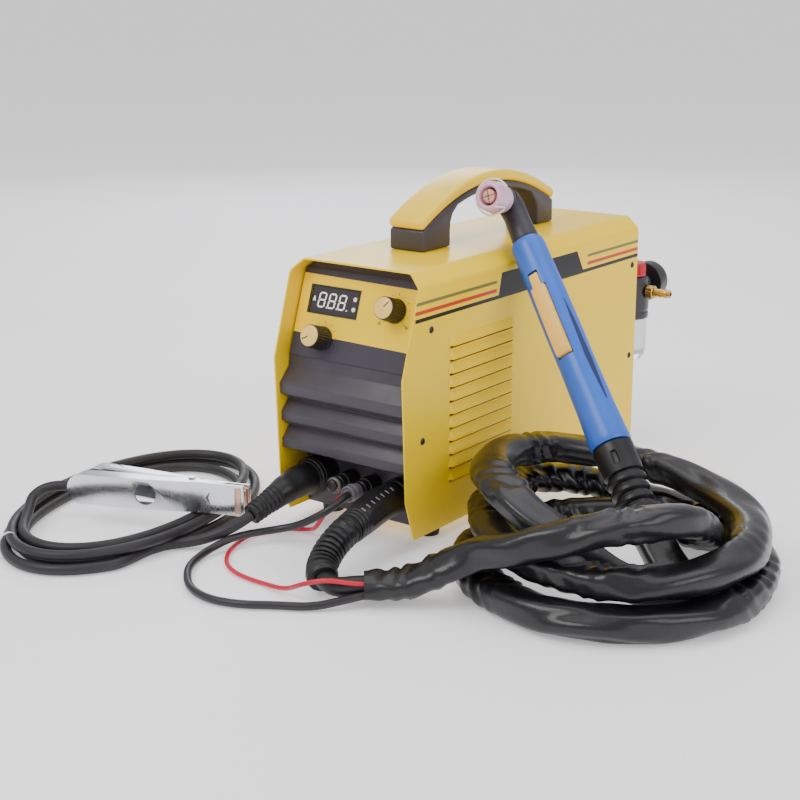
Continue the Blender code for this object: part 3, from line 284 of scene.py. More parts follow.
def faint(name, values, dark, light, scale, *sockets):
    """A finish with no more than a faint drift between two tones."""
    made, tree, shader = new_material(name, values)
    tone = wire(tree, [("place", "ShaderNodeTexCoord", {}, {}, "Object"),
                       ("cloud", "ShaderNodeTexNoise", {}, {"Vector": "place", "Scale": scale}, 0),
                       ("tone", "ShaderNodeMix", {"data_type": "RGBA"},
                        {0: "cloud", 6: colour(dark), 7: colour(light)}, 2)])["tone"]
    for socket in ("Base Color",) + sockets:
        tree.links.new(tone, shader.inputs[socket])
    return made


print("finish helpers ready")

# %% [markdown]
# Meshes are made from points, with their faces turned outwards and their creases kept sharp.
# Modifiers are turned into plain mesh at once, so that a finished piece has none.


# %% Meshes, their shading and their places
def moved(offset):
    """The matrix that moves by an offset."""
    return Matrix.Translation(offset)


def turned(degrees, axis):
    """The matrix that turns about an axis."""
    return Matrix.Rotation(radians(degrees), 4, axis)


def discard(piece):
    """Delete a helper shape."""
    bpy.data.objects.remove(piece, do_unlink=True)


def new_object(name, data):
    """An object in the scene for a mesh, a curve or a light."""
    made = bpy.data.objects.new(name, data)
    bpy.context.scene.collection.objects.link(made)
    return made


def mesh_piece(name, verts, faces, sharp=30):
    """A mesh from points measured from the machine's centre, shaded smooth but for its creases."""
    mesh = bpy.data.meshes.new(name)
    mesh.from_pydata([Vector(v) + MACHINE for v in verts], [], faces)
    mesh.validate()
    made = new_object(name, mesh)
    return crease(made, sharp)


def crease(piece, sharp=30):
    """Smooth shading with hard edges where faces meet at more than an angle."""
    piece.data.polygons.foreach_set("use_smooth", [True] * len(piece.data.polygons))
    piece.data.set_sharp_from_angle(angle=radians(sharp))
    return piece


def outward(piece):
    """Merge doubled points and turn every face outwards."""
    shape = bmesh.new()
    shape.from_mesh(piece.data)
    bmesh.ops.remove_doubles(shape, verts=shape.verts, dist=0.000002)
    bmesh.ops.recalc_face_normals(shape, faces=shape.faces)
    shape.to_mesh(piece.data)
    shape.free()
    return piece


def outward_shaded(piece, sharp=30):
    """Normals turned outwards, then creases set again."""
    return crease(outward(piece), sharp)


def freeze(piece, sharp=30):
    """Replace a piece's modifiers by the plain mesh that they give."""
    graph = bpy.context.evaluated_depsgraph_get()
    mesh = bpy.data.meshes.new_from_object(piece.evaluated_get(graph))
    piece.modifiers.clear()
    piece.data = mesh
    return crease(piece, sharp)


print("mesh helpers ready")

# %% Rounding, cutting, joining and handing over
def soften(piece, width, segments=3, angle=28, sharp=40):
    """Round a piece's edges, as a mould or a folded sheet has them."""
    step = piece.modifiers.new("rounded_edges", "BEVEL")
    step.width = width
    step.segments = segments
    step.limit_method = "ANGLE"
    step.angle_limit = radians(angle)
    step.harden_normals = False
    return freeze(piece, sharp)


def carve(piece, cutter, operation="DIFFERENCE"):
    """Cut, join or intersect with a helper mesh, then delete the helper."""
    step = piece.modifiers.new("carve", "BOOLEAN")
    step.operation = operation
    step.object = cutter
    step.solver = "EXACT"
    freeze(piece)
    discard(cutter)
    return piece


def join_pieces(name, pieces):
    """Several meshes as one piece."""
    shape = bmesh.new()
    for piece in pieces:
        part = piece.data.copy()
        part.transform(piece.matrix_world)
        shape.from_mesh(part)
        bpy.data.meshes.remove(part)
        discard(piece)
    mesh = bpy.data.meshes.new(name)
    shape.to_mesh(mesh)
    shape.free()
    made = new_object(name, mesh)
    return crease(made)


def settle(piece, look, slot, *nodes, body="unit"):
    """Give a finished piece its material, its body, its slot and the solids it stands for."""
    if look is not None:
        piece.data.materials.clear()
        piece.data.materials.append(look)
    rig.ride(piece, body)
    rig.slot(piece, slot)
    if nodes:
        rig.replaces(piece, *nodes)
    return piece


print("cutting helpers ready")

# %% [markdown]
# A local frame stands a shape where it belongs. Turned parts are a profile spun round an axis.


# %% Local frames and turned shapes
def axes_at(x, y, z, place):
    """The matrix of a local frame from its three axes and its place."""
    return Matrix([(x[i], y[i], z[i], place[i]) for i in range(3)] + [(0, 0, 0, 1)])


def frame_at(place, direction):
    """The matrix that stands local +Z along a direction at a place."""
    turn = Vector(direction).normalized().to_track_quat("Z", "Y")
    return moved(place) @ turn.to_matrix().to_4x4()


def lathe(name, profile, place, steps=48, sharp=30):
    """A turned shape from (radius, height) points, from the top of its axis down to the bottom."""
    closed = profile[0] == profile[-1]
    points = profile[:-1] if closed else profile
    verts, faces, rows = [], [], []
    for radius, height in points:
        if radius < 1e-7:
            rows.append([len(verts)])
            verts.append(place @ Vector((0, 0, height)))
        else:
            rows.append([len(verts) + i for i in range(steps)])
            verts += [place @ Vector((radius * cos(tau * i / steps), radius * sin(tau * i / steps), height))
                for i in range(steps)]
    pairs = list(zip(rows, rows[1:])) + ([(rows[-1], rows[0])] if closed else [])
    for a, b in pairs:
        for i in range(steps):
            j = (i + 1) % steps
            if len(a) == 1:
                faces.append((a[0], b[i], b[j]))
            elif len(b) == 1:
                faces.append((a[i], b[0], a[j]))
            else:
                faces.append((a[i], b[i], b[j], a[j]))
    return outward_shaded(mesh_piece(name, verts, faces, sharp), sharp)


print("turning helpers ready")

# %% [markdown]
# Cords, boots and necks follow a smooth line. A section function says how far out the skin is
# at each place, so rings, ridges and folds are part of the mesh.


# %% Smooth lines and tubes along them
def smooth_line(points, spacing):
    """Points at an even spacing along a smooth curve through the given ones."""
    points = [Vector(p) for p in points]
    line = [points[0] * 2 - points[1]] + points + [points[-1] * 2 - points[-2]]
    fine = []
    for a, b, c, d in zip(line, line[1:], line[2:], line[3:]):
        for step in range(24):
            t = step / 24
            fine.append(0.5 * ((2 * b) + (c - a) * t + (2 * a - 5 * b + 4 * c - d) * t ** 2
                               + (3 * b - a - 3 * c + d) * t ** 3))
    fine.append(points[-1])
    total = sum((q - p).length for p, q in zip(fine, fine[1:]))
    count = max(2, round(total / spacing))
    even, walked, due = [fine[0]], 0.0, total / count
    for p, q in zip(fine, fine[1:]):
        walked += (q - p).length
        if walked >= due - 1e-9 and len(even) < count:
            even.append(q)
            due += total / count
    return even + [fine[-1]]


def relaxed(points, rounds):
    """The same line with its small kinks averaged out and its ends kept."""
    for _ in range(rounds):
        points = ([points[0]] + [(a + 2 * b + c) / 4 for a, b, c in zip(points, points[1:], points[2:])]
                  + [points[-1]])
    return points


def line_length(points):
    return sum((q - p).length for p, q in zip(points, points[1:]))


def skinned(name, verts, sides, ends, sharp):
    """A closed skin over rings of points, with a fan to a middle point at each end."""
    verts, rings, faces = list(verts), len(verts) // sides, []
    for ring in range(rings - 1):
        for i in range(sides):
            low, j = ring * sides, (i + 1) % sides
            faces.append((low + i, low + j, low + sides + j, low + sides + i))
    for ring, middle in zip((0, rings - 1), ends):
        verts.append(Vector(middle))
        faces += [(ring * sides + i, ring * sides + (i + 1) % sides, len(verts) - 1) for i in range(sides)]
    return outward_shaded(mesh_piece(name, verts, faces, sharp), sharp)


def round_at(radius, angle):
    """A round section's offset (sideways, upwards)."""
    return radius * cos(angle), radius * sin(angle)


def swept(name, points, section, sides=32, sharp=40, up=(0, 0, 1)):
    """A tube along a line; section(share, angle, place) gives the offset (sideways, upwards)."""
    up = Vector(up)
    verts = []
    total, walked = line_length(points), 0.0
    for index, here in enumerate(points):
        ahead = points[min(index + 1, len(points) - 1)] - points[max(index - 1, 0)]
        ahead.normalize()
        side = ahead.cross(up).normalized()
        over = side.cross(ahead)
        if index:
            walked += (here - points[index - 1]).length
        for step in range(sides):
            angle = tau * step / sides
            across, above = section(walked, angle, here, total)
            verts.append(here + side * across + over * above)
    return skinned(name, verts, sides, (points[0], points[-1]), sharp)


def between(value, low, high):
    """0 below low, 1 above high, and a smooth step in between."""
    t = min(1.0, max(0.0, (value - low) / (high - low)))
    return t * t * (3 - 2 * t)


print("line helpers ready")

# %% [markdown]
# The camera stands to the right of the machine's front, a little above it, with a long lens so
# that the case's edges stay nearly parallel. The floor and the air are plain and pale. Large soft
# lights give long clean highlights on the paint and the sleeve.

# %% Camera, floor and lights
camera_data = bpy.data.cameras.new("camera")
camera_data.lens = 70.05
camera_data.sensor_width = 36
camera = new_object("camera", camera_data)
right = Vector((0.80083, 0.59889, -0.00182))
up = Vector((-0.16151, 0.21888, 0.96229))
back = Vector((0.5767, -0.77034, 0.27201))
turn = Matrix((right, up, back)).transposed()
camera.matrix_world = moved((0.79725, -1.17619, 0.48955)) @ turn.to_4x4()
bpy.context.scene.camera = camera

floor_mesh = bpy.data.meshes.new("floor")
reach = 30.0
floor_mesh.from_pydata([(-reach, -reach, -0.0004), (reach, -reach, -0.0004), (reach, reach, -0.0004),
    (-reach, reach, -0.0004)], [], [(0, 1, 2, 3)])
floor = new_object("floor", floor_mesh)
floor_mesh.materials.append(faint("matt_white_paper", {"Roughness": 0.55, "Emission Color": colour("#FFFFFF"),
    "Emission Strength": 0.35}, "#F4F2F5", "#FAF9FB", 3.0))
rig.stage(floor)

world = bpy.data.worlds.new("studio")
world.use_nodes = True
world.node_tree.nodes["Background"].inputs["Color"].default_value = colour("#F3F4F8")
world.node_tree.nodes["Background"].inputs["Strength"].default_value = 0.80
bpy.context.scene.world = world


def area_light(name, place, target, size, power, tint):
    data = bpy.data.lights.new(name, "AREA")
    data.shape = "RECTANGLE"
    data.size, data.size_y = size
    data.energy = power
    data.color = colour(tint)[:3]
    lamp = new_object(name, data)
    lamp.matrix_world = frame_at(Vector(place), Vector(place) - Vector(target))
    return lamp


area_light("key", (-0.5, -1.6, 1.9), (0.0, 0.0, 0.1), (1.4, 1.0), 28, "#FFFDF8")
area_light("side", (2.0, -0.3, 1.2), (0.0, 0.0, 0.15), (1.6, 1.2), 18, "#F8FAFF")
area_light("top", (0.0, 0.5, 2.2), (0.0, 0.0, 0.1), (2.0, 2.0), 20, "#FFFFFF")
area_light("rim", (-1.4, 1.5, 1.0), (0.0, 0.1, 0.15), (1.0, 1.0), 12, "#F4F7FF")
print("camera", camera.matrix_world.translation)

# %% [markdown]
# Rubbers and vinyl. Cable jackets are extruded PVC or rubber: dull, nearly black, with a fine
# drag texture. Moulded boots are a little smoother. The torch hose wears a sewn sleeve of black
# artificial leather: a soft coat with broad highlights, a pore grain and long folds.


# %% Finish: rubbers, plastics and the leather-like sleeve
def soft_black(name, base, lighter, roughness, grain_mm, depth_mm, specular=0.5, coat=0.0):
    """A near-black moulded or extruded finish with cloudy tone, varied gloss and a fine grain."""
    values = {"Roughness": roughness, "IOR": 1.5, "Coat Weight": coat, "Coat Roughness": 0.25,
              "Specular IOR Level": specular}
    return surface(name, values, (base, lighter), (1000 / 18, 3.0), (roughness - 0.06, roughness + 0.08),
                   (1000 / grain_mm, 4.0), (0.6, depth_mm / 1000))[0]


cable_rubber = soft_black("extruded_cable_rubber", "#19171A", "#262326", 0.50, 0.8, 0.05)
boot_rubber = soft_black("moulded_boot_rubber", "#0E0D0F", "#1A181B", 0.42, 0.6, 0.04)
wire_pvc = soft_black("extruded_black_pvc", "#1D1A1E", "#29252A", 0.40, 0.6, 0.03)
foot_rubber = soft_black("moulded_foot_rubber", "#171617", "#242224", 0.62, 1.0, 0.08)
black_abs = soft_black("moulded_black_abs", "#19181A", "#242326", 0.38, 0.5, 0.03)


def sleeve_leather():
    """Artificial leather: a pebbled pore pattern over a ruffled ground, under a thin satin coat."""
    values = {"Roughness": 0.30, "IOR": 1.5, "Coat Weight": 0.22, "Coat Roughness": 0.12,
              "Specular IOR Level": 0.4}
    made, tree, shader, found = surface("artificial_leather_sleeve", values, ("#0D0C0F", "#19171B"),
        (22.0, 3.0), (0.28, 0.42), (1000 / 9, 4.0), (0.5, 0.0008))
    pores = wire(tree, [
        ("pores", "ShaderNodeTexVoronoi", {"feature": "F1"},
         {"Vector": "place", "Scale": 1000 / 1.3}, "Distance"),
        ("fine", "ShaderNodeBump", {}, {"Height": "pores", "Strength": 0.35, "Distance": 0.0002}, 0)],
        **found)
    tree.links.new(pores["fine"], found["relief"].node.inputs["Normal"])
    return made


leather = sleeve_leather()


def bright_plastic(name, base, darker, roughness, coat=0.0, grain_mm=0.9, depth_mm=0.02, subsurface=0.0):
    """A coloured moulded plastic: a slight drift in tone and gloss, and a faint moulded grain."""
    values = {"Roughness": roughness, "IOR": 1.48, "Coat Weight": coat, "Coat Roughness": 0.15,
              "Subsurface Weight": subsurface, "Subsurface Scale": 0.002}
    return surface(name, values, (darker, base), (35.0, 2.0), (roughness - 0.04, roughness + 0.06),
                   (1000 / grain_mm, 2.0), (0.5, depth_mm / 1000), span=(0.0, 1.0))[0]


red_pvc = bright_plastic("extruded_red_pvc", "#D21A3A", "#BE1030", 0.32)
print("soft finishes", len(bpy.data.materials))

# %% [markdown]
# The earth lead is one cable. It leaves the plug's sleeve, swings into a loose oval coil of three
# turns laid beside and on each other, and rises into the clamp's open end. Each turn keeps its
# own track: out from the coil's edge and up from the floor, so that no two strands share a place.


# %% Earth lead
def on_oval(place, half, lean, angle, inset, height):
    """A point on an oval coil: an angle round it, an inset from its outer edge and a height."""
    across, along = half[0] - inset, (half[0] - inset) * half[1] / half[0]
    x, y = across * cos(angle), along * sin(angle)
    return Vector((place[0] + x * cos(lean) - y * sin(lean),
                   place[1] + x * sin(lean) + y * cos(lean), height))


def track(rows, angle):
    """Inset and height at an angle, smoothly between the rows that say them."""
    for (a, inset_a, high_a), (b, inset_b, high_b) in zip(rows, rows[1:]):
        if a <= angle <= b:
            t = between(angle, a, b) * 0.6 + 0.4 * (angle - a) / (b - a)
            return inset_a + (inset_b - inset_a) * t, high_a + (high_b - high_a) * t
    return rows[-1][1:]


EARTH_RADIUS = 0.00475
EARTH_PLACE, EARTH_HALF, EARTH_LEAN = (-0.1880, -0.2620), (0.0950, 0.1620), radians(14)
earth_exit = Vector((-0.0523, -0.2548, 0.0270))
earth_feed = mm([(-56.5, -267, 21.5), (-64, -277, 16), (-76, -286, 10), (-89, -294, 6.2), (-100, -305, 5.2),
    (-106.5, -320, 4.85)])
# clockwise from above: angle walked in degrees, inset from the edge, height
earth_rows = [(0, 0.0050, 0.0049), (120, 0.0050, 0.0049), (240, 0.0030, 0.0049), (300, 0.0040, 0.0049),
              (345, 0.0150, 0.0049), (400, 0.0148, 0.0049), (520, 0.0150, 0.0049), (600, 0.0180, 0.0049),
              (640, 0.0160, 0.0090), (665, 0.0110, 0.0142), (760, 0.0100, 0.0140), (860, 0.0080, 0.0140),
              (960, 0.0090, 0.0142), (1040, 0.0220, 0.0150), (1100, 0.0200, 0.0146), (1168, 0.0170, 0.0146)]
earth_coil = []
for walked in range(0, 1169, 8):
    inset, high = track(earth_rows, walked)
    earth_coil.append(on_oval(EARTH_PLACE, EARTH_HALF, EARTH_LEAN, radians(-50 - walked), inset, high))
clamp_turn = radians(18.3)
clamp_along = Vector((cos(clamp_turn), sin(clamp_turn), 0))
clamp_end = Vector((-0.2210, -0.3080, 0.0345))
last = earth_coil[-1]
earth_rise = [last + Vector((-0.0150, 0.0190, 0.0045)), Vector((-0.2490, -0.3300, 0.0250)),
    Vector((-0.2415, -0.3170, 0.0320)), clamp_end, clamp_end + clamp_along * 0.012 + Vector((0, 0.0008, 0)),
    clamp_end + clamp_along * 0.034 + Vector((0, 0.0024, 0))]
earth_line = relaxed(smooth_line([earth_exit] + earth_feed + earth_coil + earth_rise, 0.004), 6)


def cord_curve(name, points, radius, look, slot, *nodes, sides=6):
    """A round cord: a curve of one spline, its bevel half the cord's thickness."""
    data = bpy.data.curves.new(name, "CURVE")
    data.dimensions = "3D"
    data.bevel_depth = radius
    data.bevel_resolution = sides
    data.use_fill_caps = True
    spline = data.splines.new("POLY")
    spline.points.add(len(points) - 1)
    for point, co in zip(spline.points, points):
        point.co = (*(co + MACHINE), 1)
    spline.use_smooth = True
    made = new_object(name, data)
    return settle(made, look, slot, *nodes)


earth_lead = cord_curve("earth_lead", earth_line, EARTH_RADIUS, cable_rubber, "black_rubber", "earth_cable",
    "earth_coil")
earth_length = line_length(earth_line)
print("earth lead", round(earth_length, 3), "m")

# %% [markdown]
# Two thin wires leave the right control plug: the red pilot wire and the black trigger lead.
# Each makes a loose loop in front of the machine, then runs into the mouth of the torch's sleeve.

# %% Pilot wire and trigger lead
wire_tail = Vector((0.0095, PORT_FACE - 0.0410, PORT_HEIGHT))
pilot_start = wire_tail + Vector((-0.0045, 0, -0.0020))
pilot_route = mm([(1, -211, 33), (-6, -213, 24), (-16, -211, 11), (-30, -205, 4), (-48, -211, 2.6),
    (-60, -226, 2.6), (-64, -248, 2.6), (-56, -276, 2.6), (-43, -297, 2.6), (-26, -311, 2.6), (-4, -318, 2.6),
    (20, -319, 2.6), (45, -323, 6), (70, -328, 18), (87, -322, 23), (100, -312.5, 20.8), (113, -302, 19.2),
    (127, -291, 19)])
trigger_start = wire_tail + Vector((0.0022, 0, 0.0005))
trigger_route = mm([(8, -219, 36), (-4, -227, 27), (-20, -232, 18), (-37, -240, 13), (-50, -256, 11.5),
    (-59, -276, 10), (-64, -299, 4.8), (-56, -326, 3.8), (-40, -347, 3.8), (-18, -364, 3.8), (8, -370, 3.8),
    (33, -364, 3.8), (56, -350, 3.8), (83, -334, 4.2), (101, -316, 8), (113, -303.5, 11.2),
    (127, -291.5, 12.5)])
wire_lines = {}
for name, start, route, radius, look, slot, node in (("red_pilot_wire", pilot_start, pilot_route, 0.0020,
        red_pvc, "red_insulation", "pilot_wire"), ("black_trigger_lead", trigger_start, trigger_route, 0.0034,
        wire_pvc, "black_rubber", "trigger_wire")):
    heading = Vector((0, -1, 0))
    line = relaxed(smooth_line([start + heading * 0.0006, start + heading * 0.004] + route, 0.003), 5)
    wire_lines[name] = (cord_curve(name, line, radius, look, slot, node), line, radius)
    print(name, round(line_length(line), 3), "m")

# %% [markdown]
# The torch hose is a round hose inside a wider sleeve of artificial leather. From the plug it is
# bare, then it enters the sleeve's mouth. The sleeve crosses the front of the coil on top, dips
# inside it, runs three times round, and comes up into the torch from the middle. Its section is a
# flattened oval. Long creases drift along it, and short wrinkles crowd the inner side of bends:
# they are moved points in the mesh, because they are several millimetres deep.

# %% Torch hose and its sleeve
HOSE_PLACE, HOSE_HALF, HOSE_LEAN = (0.2240, -0.1180), (0.1380, 0.1650), radians(36.9)
hose_exit = Vector((0.0725, -0.3075, 0.0155))
bare_route = [hose_exit, (0.0885, -0.3110, 0.0140), (0.0985, -0.3030, 0.0150), (0.1090, -0.2945, 0.0152),
              (0.1210, -0.2855, 0.0152), (0.1360, -0.2750, 0.0177), (0.1480, -0.2662, 0.0240),
              (0.1550, -0.2605, 0.0290)]
bare_line = relaxed(smooth_line([Vector(p) for p in bare_route], 0.003), 3)
bare_hose = cord_curve("bare_torch_hose", bare_line, 0.0080, boot_rubber, "black_rubber", sides=8)

sleeve_mouth = mm([(106, -298.5, 15), (121, -286.5, 15), (136, -275, 17.5), (151, -264, 26)])
# counter-clockwise from above: angle in degrees, inset from the edge, height
hose_rows = [(-150, 0.0060, 0.0440), (-140, 0.0150, 0.0540), (-125, 0.0280, 0.0660), (-108, 0.0380, 0.0750),
             (-93, 0.0425, 0.0800), (-75, 0.0460, 0.0815), (-62, 0.0490, 0.0780), (-48, 0.0550, 0.0650),
             (-30, 0.0610, 0.0480), (-8, 0.0620, 0.0340), (18, 0.0590, 0.0220), (45, 0.0550, 0.0145),
             (70, 0.0540, 0.0135), (100, 0.0540, 0.0135), (128, 0.0510, 0.0135), (155, 0.0380, 0.0135),
             (182, 0.0230, 0.0135), (205, 0.0180, 0.0135), (240, 0.0160, 0.0135), (300, 0.0165, 0.0135),
             (360, 0.0170, 0.0135), (410, 0.0170, 0.0140), (432, 0.0180, 0.0180), (456, 0.0210, 0.0320),
             (480, 0.0260, 0.0410), (510, 0.0340, 0.0430), (540, 0.0400, 0.0420), (570, 0.0430, 0.0390),
             (600, 0.0380, 0.0380), (630, 0.0320, 0.0385), (660, 0.0260, 0.0400), (690, 0.0240, 0.0410),
             (720, 0.0240, 0.0420), (750, 0.0260, 0.0450), (780, 0.0300, 0.0530), (810, 0.0340, 0.0630),
             (840, 0.0370, 0.0740), (870, 0.0370, 0.0810), (895, 0.0390, 0.0830), (920, 0.0470, 0.0760),
             (945, 0.0570, 0.0590), (965, 0.0630, 0.0420), (985, 0.0630, 0.0270), (1001, 0.0570, 0.0185)]
hose_coil = []
for angle in range(-150, 1002, 7):
    inset, high = track(hose_rows, angle)
    hose_coil.append(on_oval(HOSE_PLACE, HOSE_HALF, HOSE_LEAN, radians(angle), inset, high))
hose_tail = mm([(303.5, -172, 16.5), (305.4, -160, 16), (302, -147, 16.5), (293, -138.5, 19),
    (280.5, -132, 26), (267.7, -125.3, 37), (259, -120.7, 44), (251.5, -116.7, 51.7)])
sleeve_line = relaxed(smooth_line(sleeve_mouth + hose_coil + hose_tail, 0.0034), 10)
sleeve_total = line_length(sleeve_line)


def fold(along, angle, here, total):
    """The sleeve's section: a flattened oval, creased and wrinkled, narrow at both its ends."""
    end = between(along, -0.03, 0.07) * (1 - 0.42 * between(along, total - 0.06, total))
    full = noise.noise(Vector((along * 9, 3.7, 0)))
    wide = (0.0172 + 0.0018 * full) * (0.80 + 0.20 * end)
    tall = (0.0128 - 0.0012 * full) * (0.76 + 0.24 * end)
    drift = along * 7
    crease_a = cos(3 * angle + 2.6 * noise.noise(Vector((drift, 0, 1.3))) * 3)
    crease_b = cos(5 * angle + 3.9 * noise.noise(Vector((drift * 1.7, 5.1, 0))) * 3)
    folds = 0.075 * crease_a + 0.055 * crease_b * between(noise.noise(Vector((along * 12, 9, 0))), -0.2, 0.4)
    inner = 0.5 - 0.5 * cos(angle)
    patch = between(noise.noise(Vector((along * 14, 1.1, 4.2))), -0.12, 0.30)
    wave = sin(along * 380 + 2.2 * sin(2 * angle) + 5 * noise.noise(Vector((along * 40, 2, 7))))
    wrinkle = 0.14 * patch * (0.25 + 0.75 * inner) * wave
    swell = 1 + folds + wrinkle
    power = 0.86
    c, s = cos(angle), sin(angle)
    above = tall * swell * copysign(abs(s) ** power, s)
    return wide * swell * copysign(abs(c) ** power, c), max(above, 0.0003 - here.z)


sleeve = swept("torch_hose_sleeve", sleeve_line, fold, sides=44, sharp=60)
settle(sleeve, leather, "black_sheath", "torch_hose", "torch_coil", "torch_tail")
print("sleeve", round(sleeve_total, 3), "m, faces", len(sleeve.data.polygons))

# %% [markdown]
# The case is powder-coated sheet: strong yellow, glossy, with the faint waviness called orange
# peel. The decoration is printed film, so it is drawn in the paint itself, in object coordinates,
# with the machine's measures: two stripes and a blank black badge on each side.


# %% Finish: yellow powder coat with printed stripes
def powder_coat(name, printed):
    """Glossy yellow paint; on the case's sides it also carries the printed film."""
    values = {"Roughness": 0.38, "IOR": 1.5, "Coat Weight": 0.05, "Specular IOR Level": 0.22,
              "Coat Roughness": 0.07}
    made, tree, shader, found = surface(name, values, ("#FFD000", "#FFD803"), (9.0, 2.0), (0.26, 0.36),
        (1000 / 2.4, 1.0), (0.25, 0.00004), span=(0.0, 1.0))
    tree.links.new(found["relief"], shader.inputs["Coat Normal"])
    if not printed:
        return made
    found = wire(tree, [
        ("x", "ShaderNodeSeparateXYZ", {}, {"Vector": "place"}, "X"),
        ("y", "ShaderNodeSeparateXYZ", {}, {"Vector": "place"}, "Y"),
        ("high", "ShaderNodeSeparateXYZ", {}, {"Vector": "place"}, "Z"),
        ("across", "SUBTRACT", "x", MACHINE.x), ("across", "ABSOLUTE", "across", 0.0),
        ("outside", "GREATER_THAN", "across", HALF_WIDTH - 0.0004),
        ("along", "SUBTRACT", "y", MACHINE.y), ("ahead", "GREATER_THAN", "along", -0.1820),
        ("before", "LESS_THAN", "along", -0.0600), ("behind", "GREATER_THAN", "along", 0.0985),
        ("clear", "MAXIMUM", "before", "behind"), ("clear", "MULTIPLY", "ahead", "clear"),
        ("down", "SUBTRACT", 0.2228, "high"), ("lean", "MULTIPLY", "down", 0.60),
        ("front_lean", "MULTIPLY", "lean", 0.40), ("front_edge", "SUBTRACT", -0.0521, "front_lean"),
        ("rear_edge", "ADD", 0.0786, "lean"), ("after_front", "GREATER_THAN", "along", "front_edge"),
        ("before_rear", "LESS_THAN", "along", "rear_edge"),
        ("badge", "MULTIPLY", "after_front", "before_rear")], **found)
    # where along the side, from and to what height, in what colour
    for place, low, top, code in (
            ("ahead", 0.1998, 0.2032, "#1A1717"), ("clear", 0.2064, 0.2096, "#CE3418"),
            ("clear", 0.2142, 0.2170, "#77713A"), ("badge", 0.2028, 0.2228, "#121011")):
        found = wire(tree, [
            ("over", "GREATER_THAN", "high", low), ("under", "LESS_THAN", "high", top),
            ("band", "MULTIPLY", "over", "under"), ("band", "MULTIPLY", "band", place),
            ("band", "MULTIPLY", "band", "outside"),
            ("tone", "ShaderNodeMix", {"data_type": "RGBA"}, {0: "band", 6: "tone", 7: colour(code)}, 2)],
            **found)
    tree.links.new(found["tone"], shader.inputs["Base Color"])
    return made


yellow_case = powder_coat("yellow_powder_coat_printed", True)
yellow_coat = powder_coat("yellow_powder_coat", False)
print("powder coats ready")

# %% [markdown]
# The cover is one folded sheet: two sides, two slanted corners and a top. Its folds are rounded,
# as a press brake leaves them. The flaps ahead of the front lean back from a nose, and the trim
# shape cuts them from the straight folded sheet.


# %% Cover: the folded sheet
def prism(name, outline, low, high, axis="x"):
    """A solid with a side outline, (y, z) points for axis x or (x, z) points for axis y."""
    count = len(outline)
    if axis == "x":
        verts = [(low, *p) for p in outline] + [(high, *p) for p in outline]
    else:
        verts = [(p[0], low, p[1]) for p in outline] + [(p[0], high, p[1]) for p in outline]
    faces = [tuple(range(count)), tuple(range(2 * count - 1, count - 1, -1))]
    faces += [(i, (i + 1) % count, count + (i + 1) % count, count + i) for i in range(count)]
    return outward_shaded(mesh_piece(name, verts, faces))


def rounded_path(points, radius, steps=5):
    """An open path with its inner corners turned into arcs."""
    path = [Vector(points[0])]
    for a, b, c in zip(points, points[1:], points[2:]):
        a, b, c = Vector(a), Vector(b), Vector(c)
        before, after = (a - b).normalized(), (c - b).normalized()
        for step in range(steps + 1):
            t = step / steps
            start, end = b + before * radius, b + after * radius
            path.append(start * (1 - t) ** 2 + b * 2 * t * (1 - t) + end * t ** 2)
    return path + [Vector(points[-1])]


shoulder = CASE_TOP - CHAMFER_HEIGHT
half_section = [(HALF_WIDTH, CASE_LOW), (HALF_WIDTH, shoulder), (HALF_WIDTH - CHAMFER_WIDTH, CASE_TOP)]
outer_fold = [(-x, z) for x, z in half_section] + half_section[::-1]
outer_fold = rounded_path(outer_fold, 0.0026)
inner_fold = [(-(HALF_WIDTH - SHEET), CASE_LOW), (-(HALF_WIDTH - SHEET), shoulder - 0.0006),
              (-(HALF_WIDTH - CHAMFER_WIDTH) + 0.0006, CASE_TOP - SHEET)]
inner_fold = inner_fold + [(-x, z) for x, z in inner_fold[::-1]]
inner_fold = rounded_path(inner_fold, 0.0018)
cover = prism("case_cover", [tuple(p) for p in outer_fold + inner_fold[::-1]], FRONT, REAR, axis="y")
keep = [(FRONT + 0.0164 + 0.0033, CASE_LOW - 0.010), (FRONT + 0.0045, CASE_LOW + 0.036),
        (FRONT, CASE_LOW + 0.1438), (FRONT + 0.0239, shoulder), (FRONT + 0.0288 + 0.0043, CASE_TOP + 0.010),
        (REAR + 0.01, CASE_TOP + 0.010), (REAR + 0.01, CASE_LOW - 0.010)]
carve(cover, prism("trim", keep, -0.1, 0.1), "INTERSECT")
print("cover faces", len(cover.data.polygons))

# %% [markdown]
# Each louvre is cut and pressed in one stroke: a hood swells outwards above an open slot. One
# hood is made as a height field, 104 mm long, that starts level with the sheet above, is proudest
# at its lower lip, and sinks back to the sheet at its two ends. Geometry Nodes repeats it.

# %% Louvres: one pressed hood, repeated by Geometry Nodes
LOUVRE_COUNT, LOUVRE_PITCH, LOUVRE_HEIGHT = 11, 0.0121, 0.0084
LOUVRE_FRONT, LOUVRE_LENGTH, LOUVRE_LOW = FRONT + 0.0655, 0.1040, 0.0506
LOUVRE_PROUD, LOUVRE_SLOT = 0.0034, 0.0028


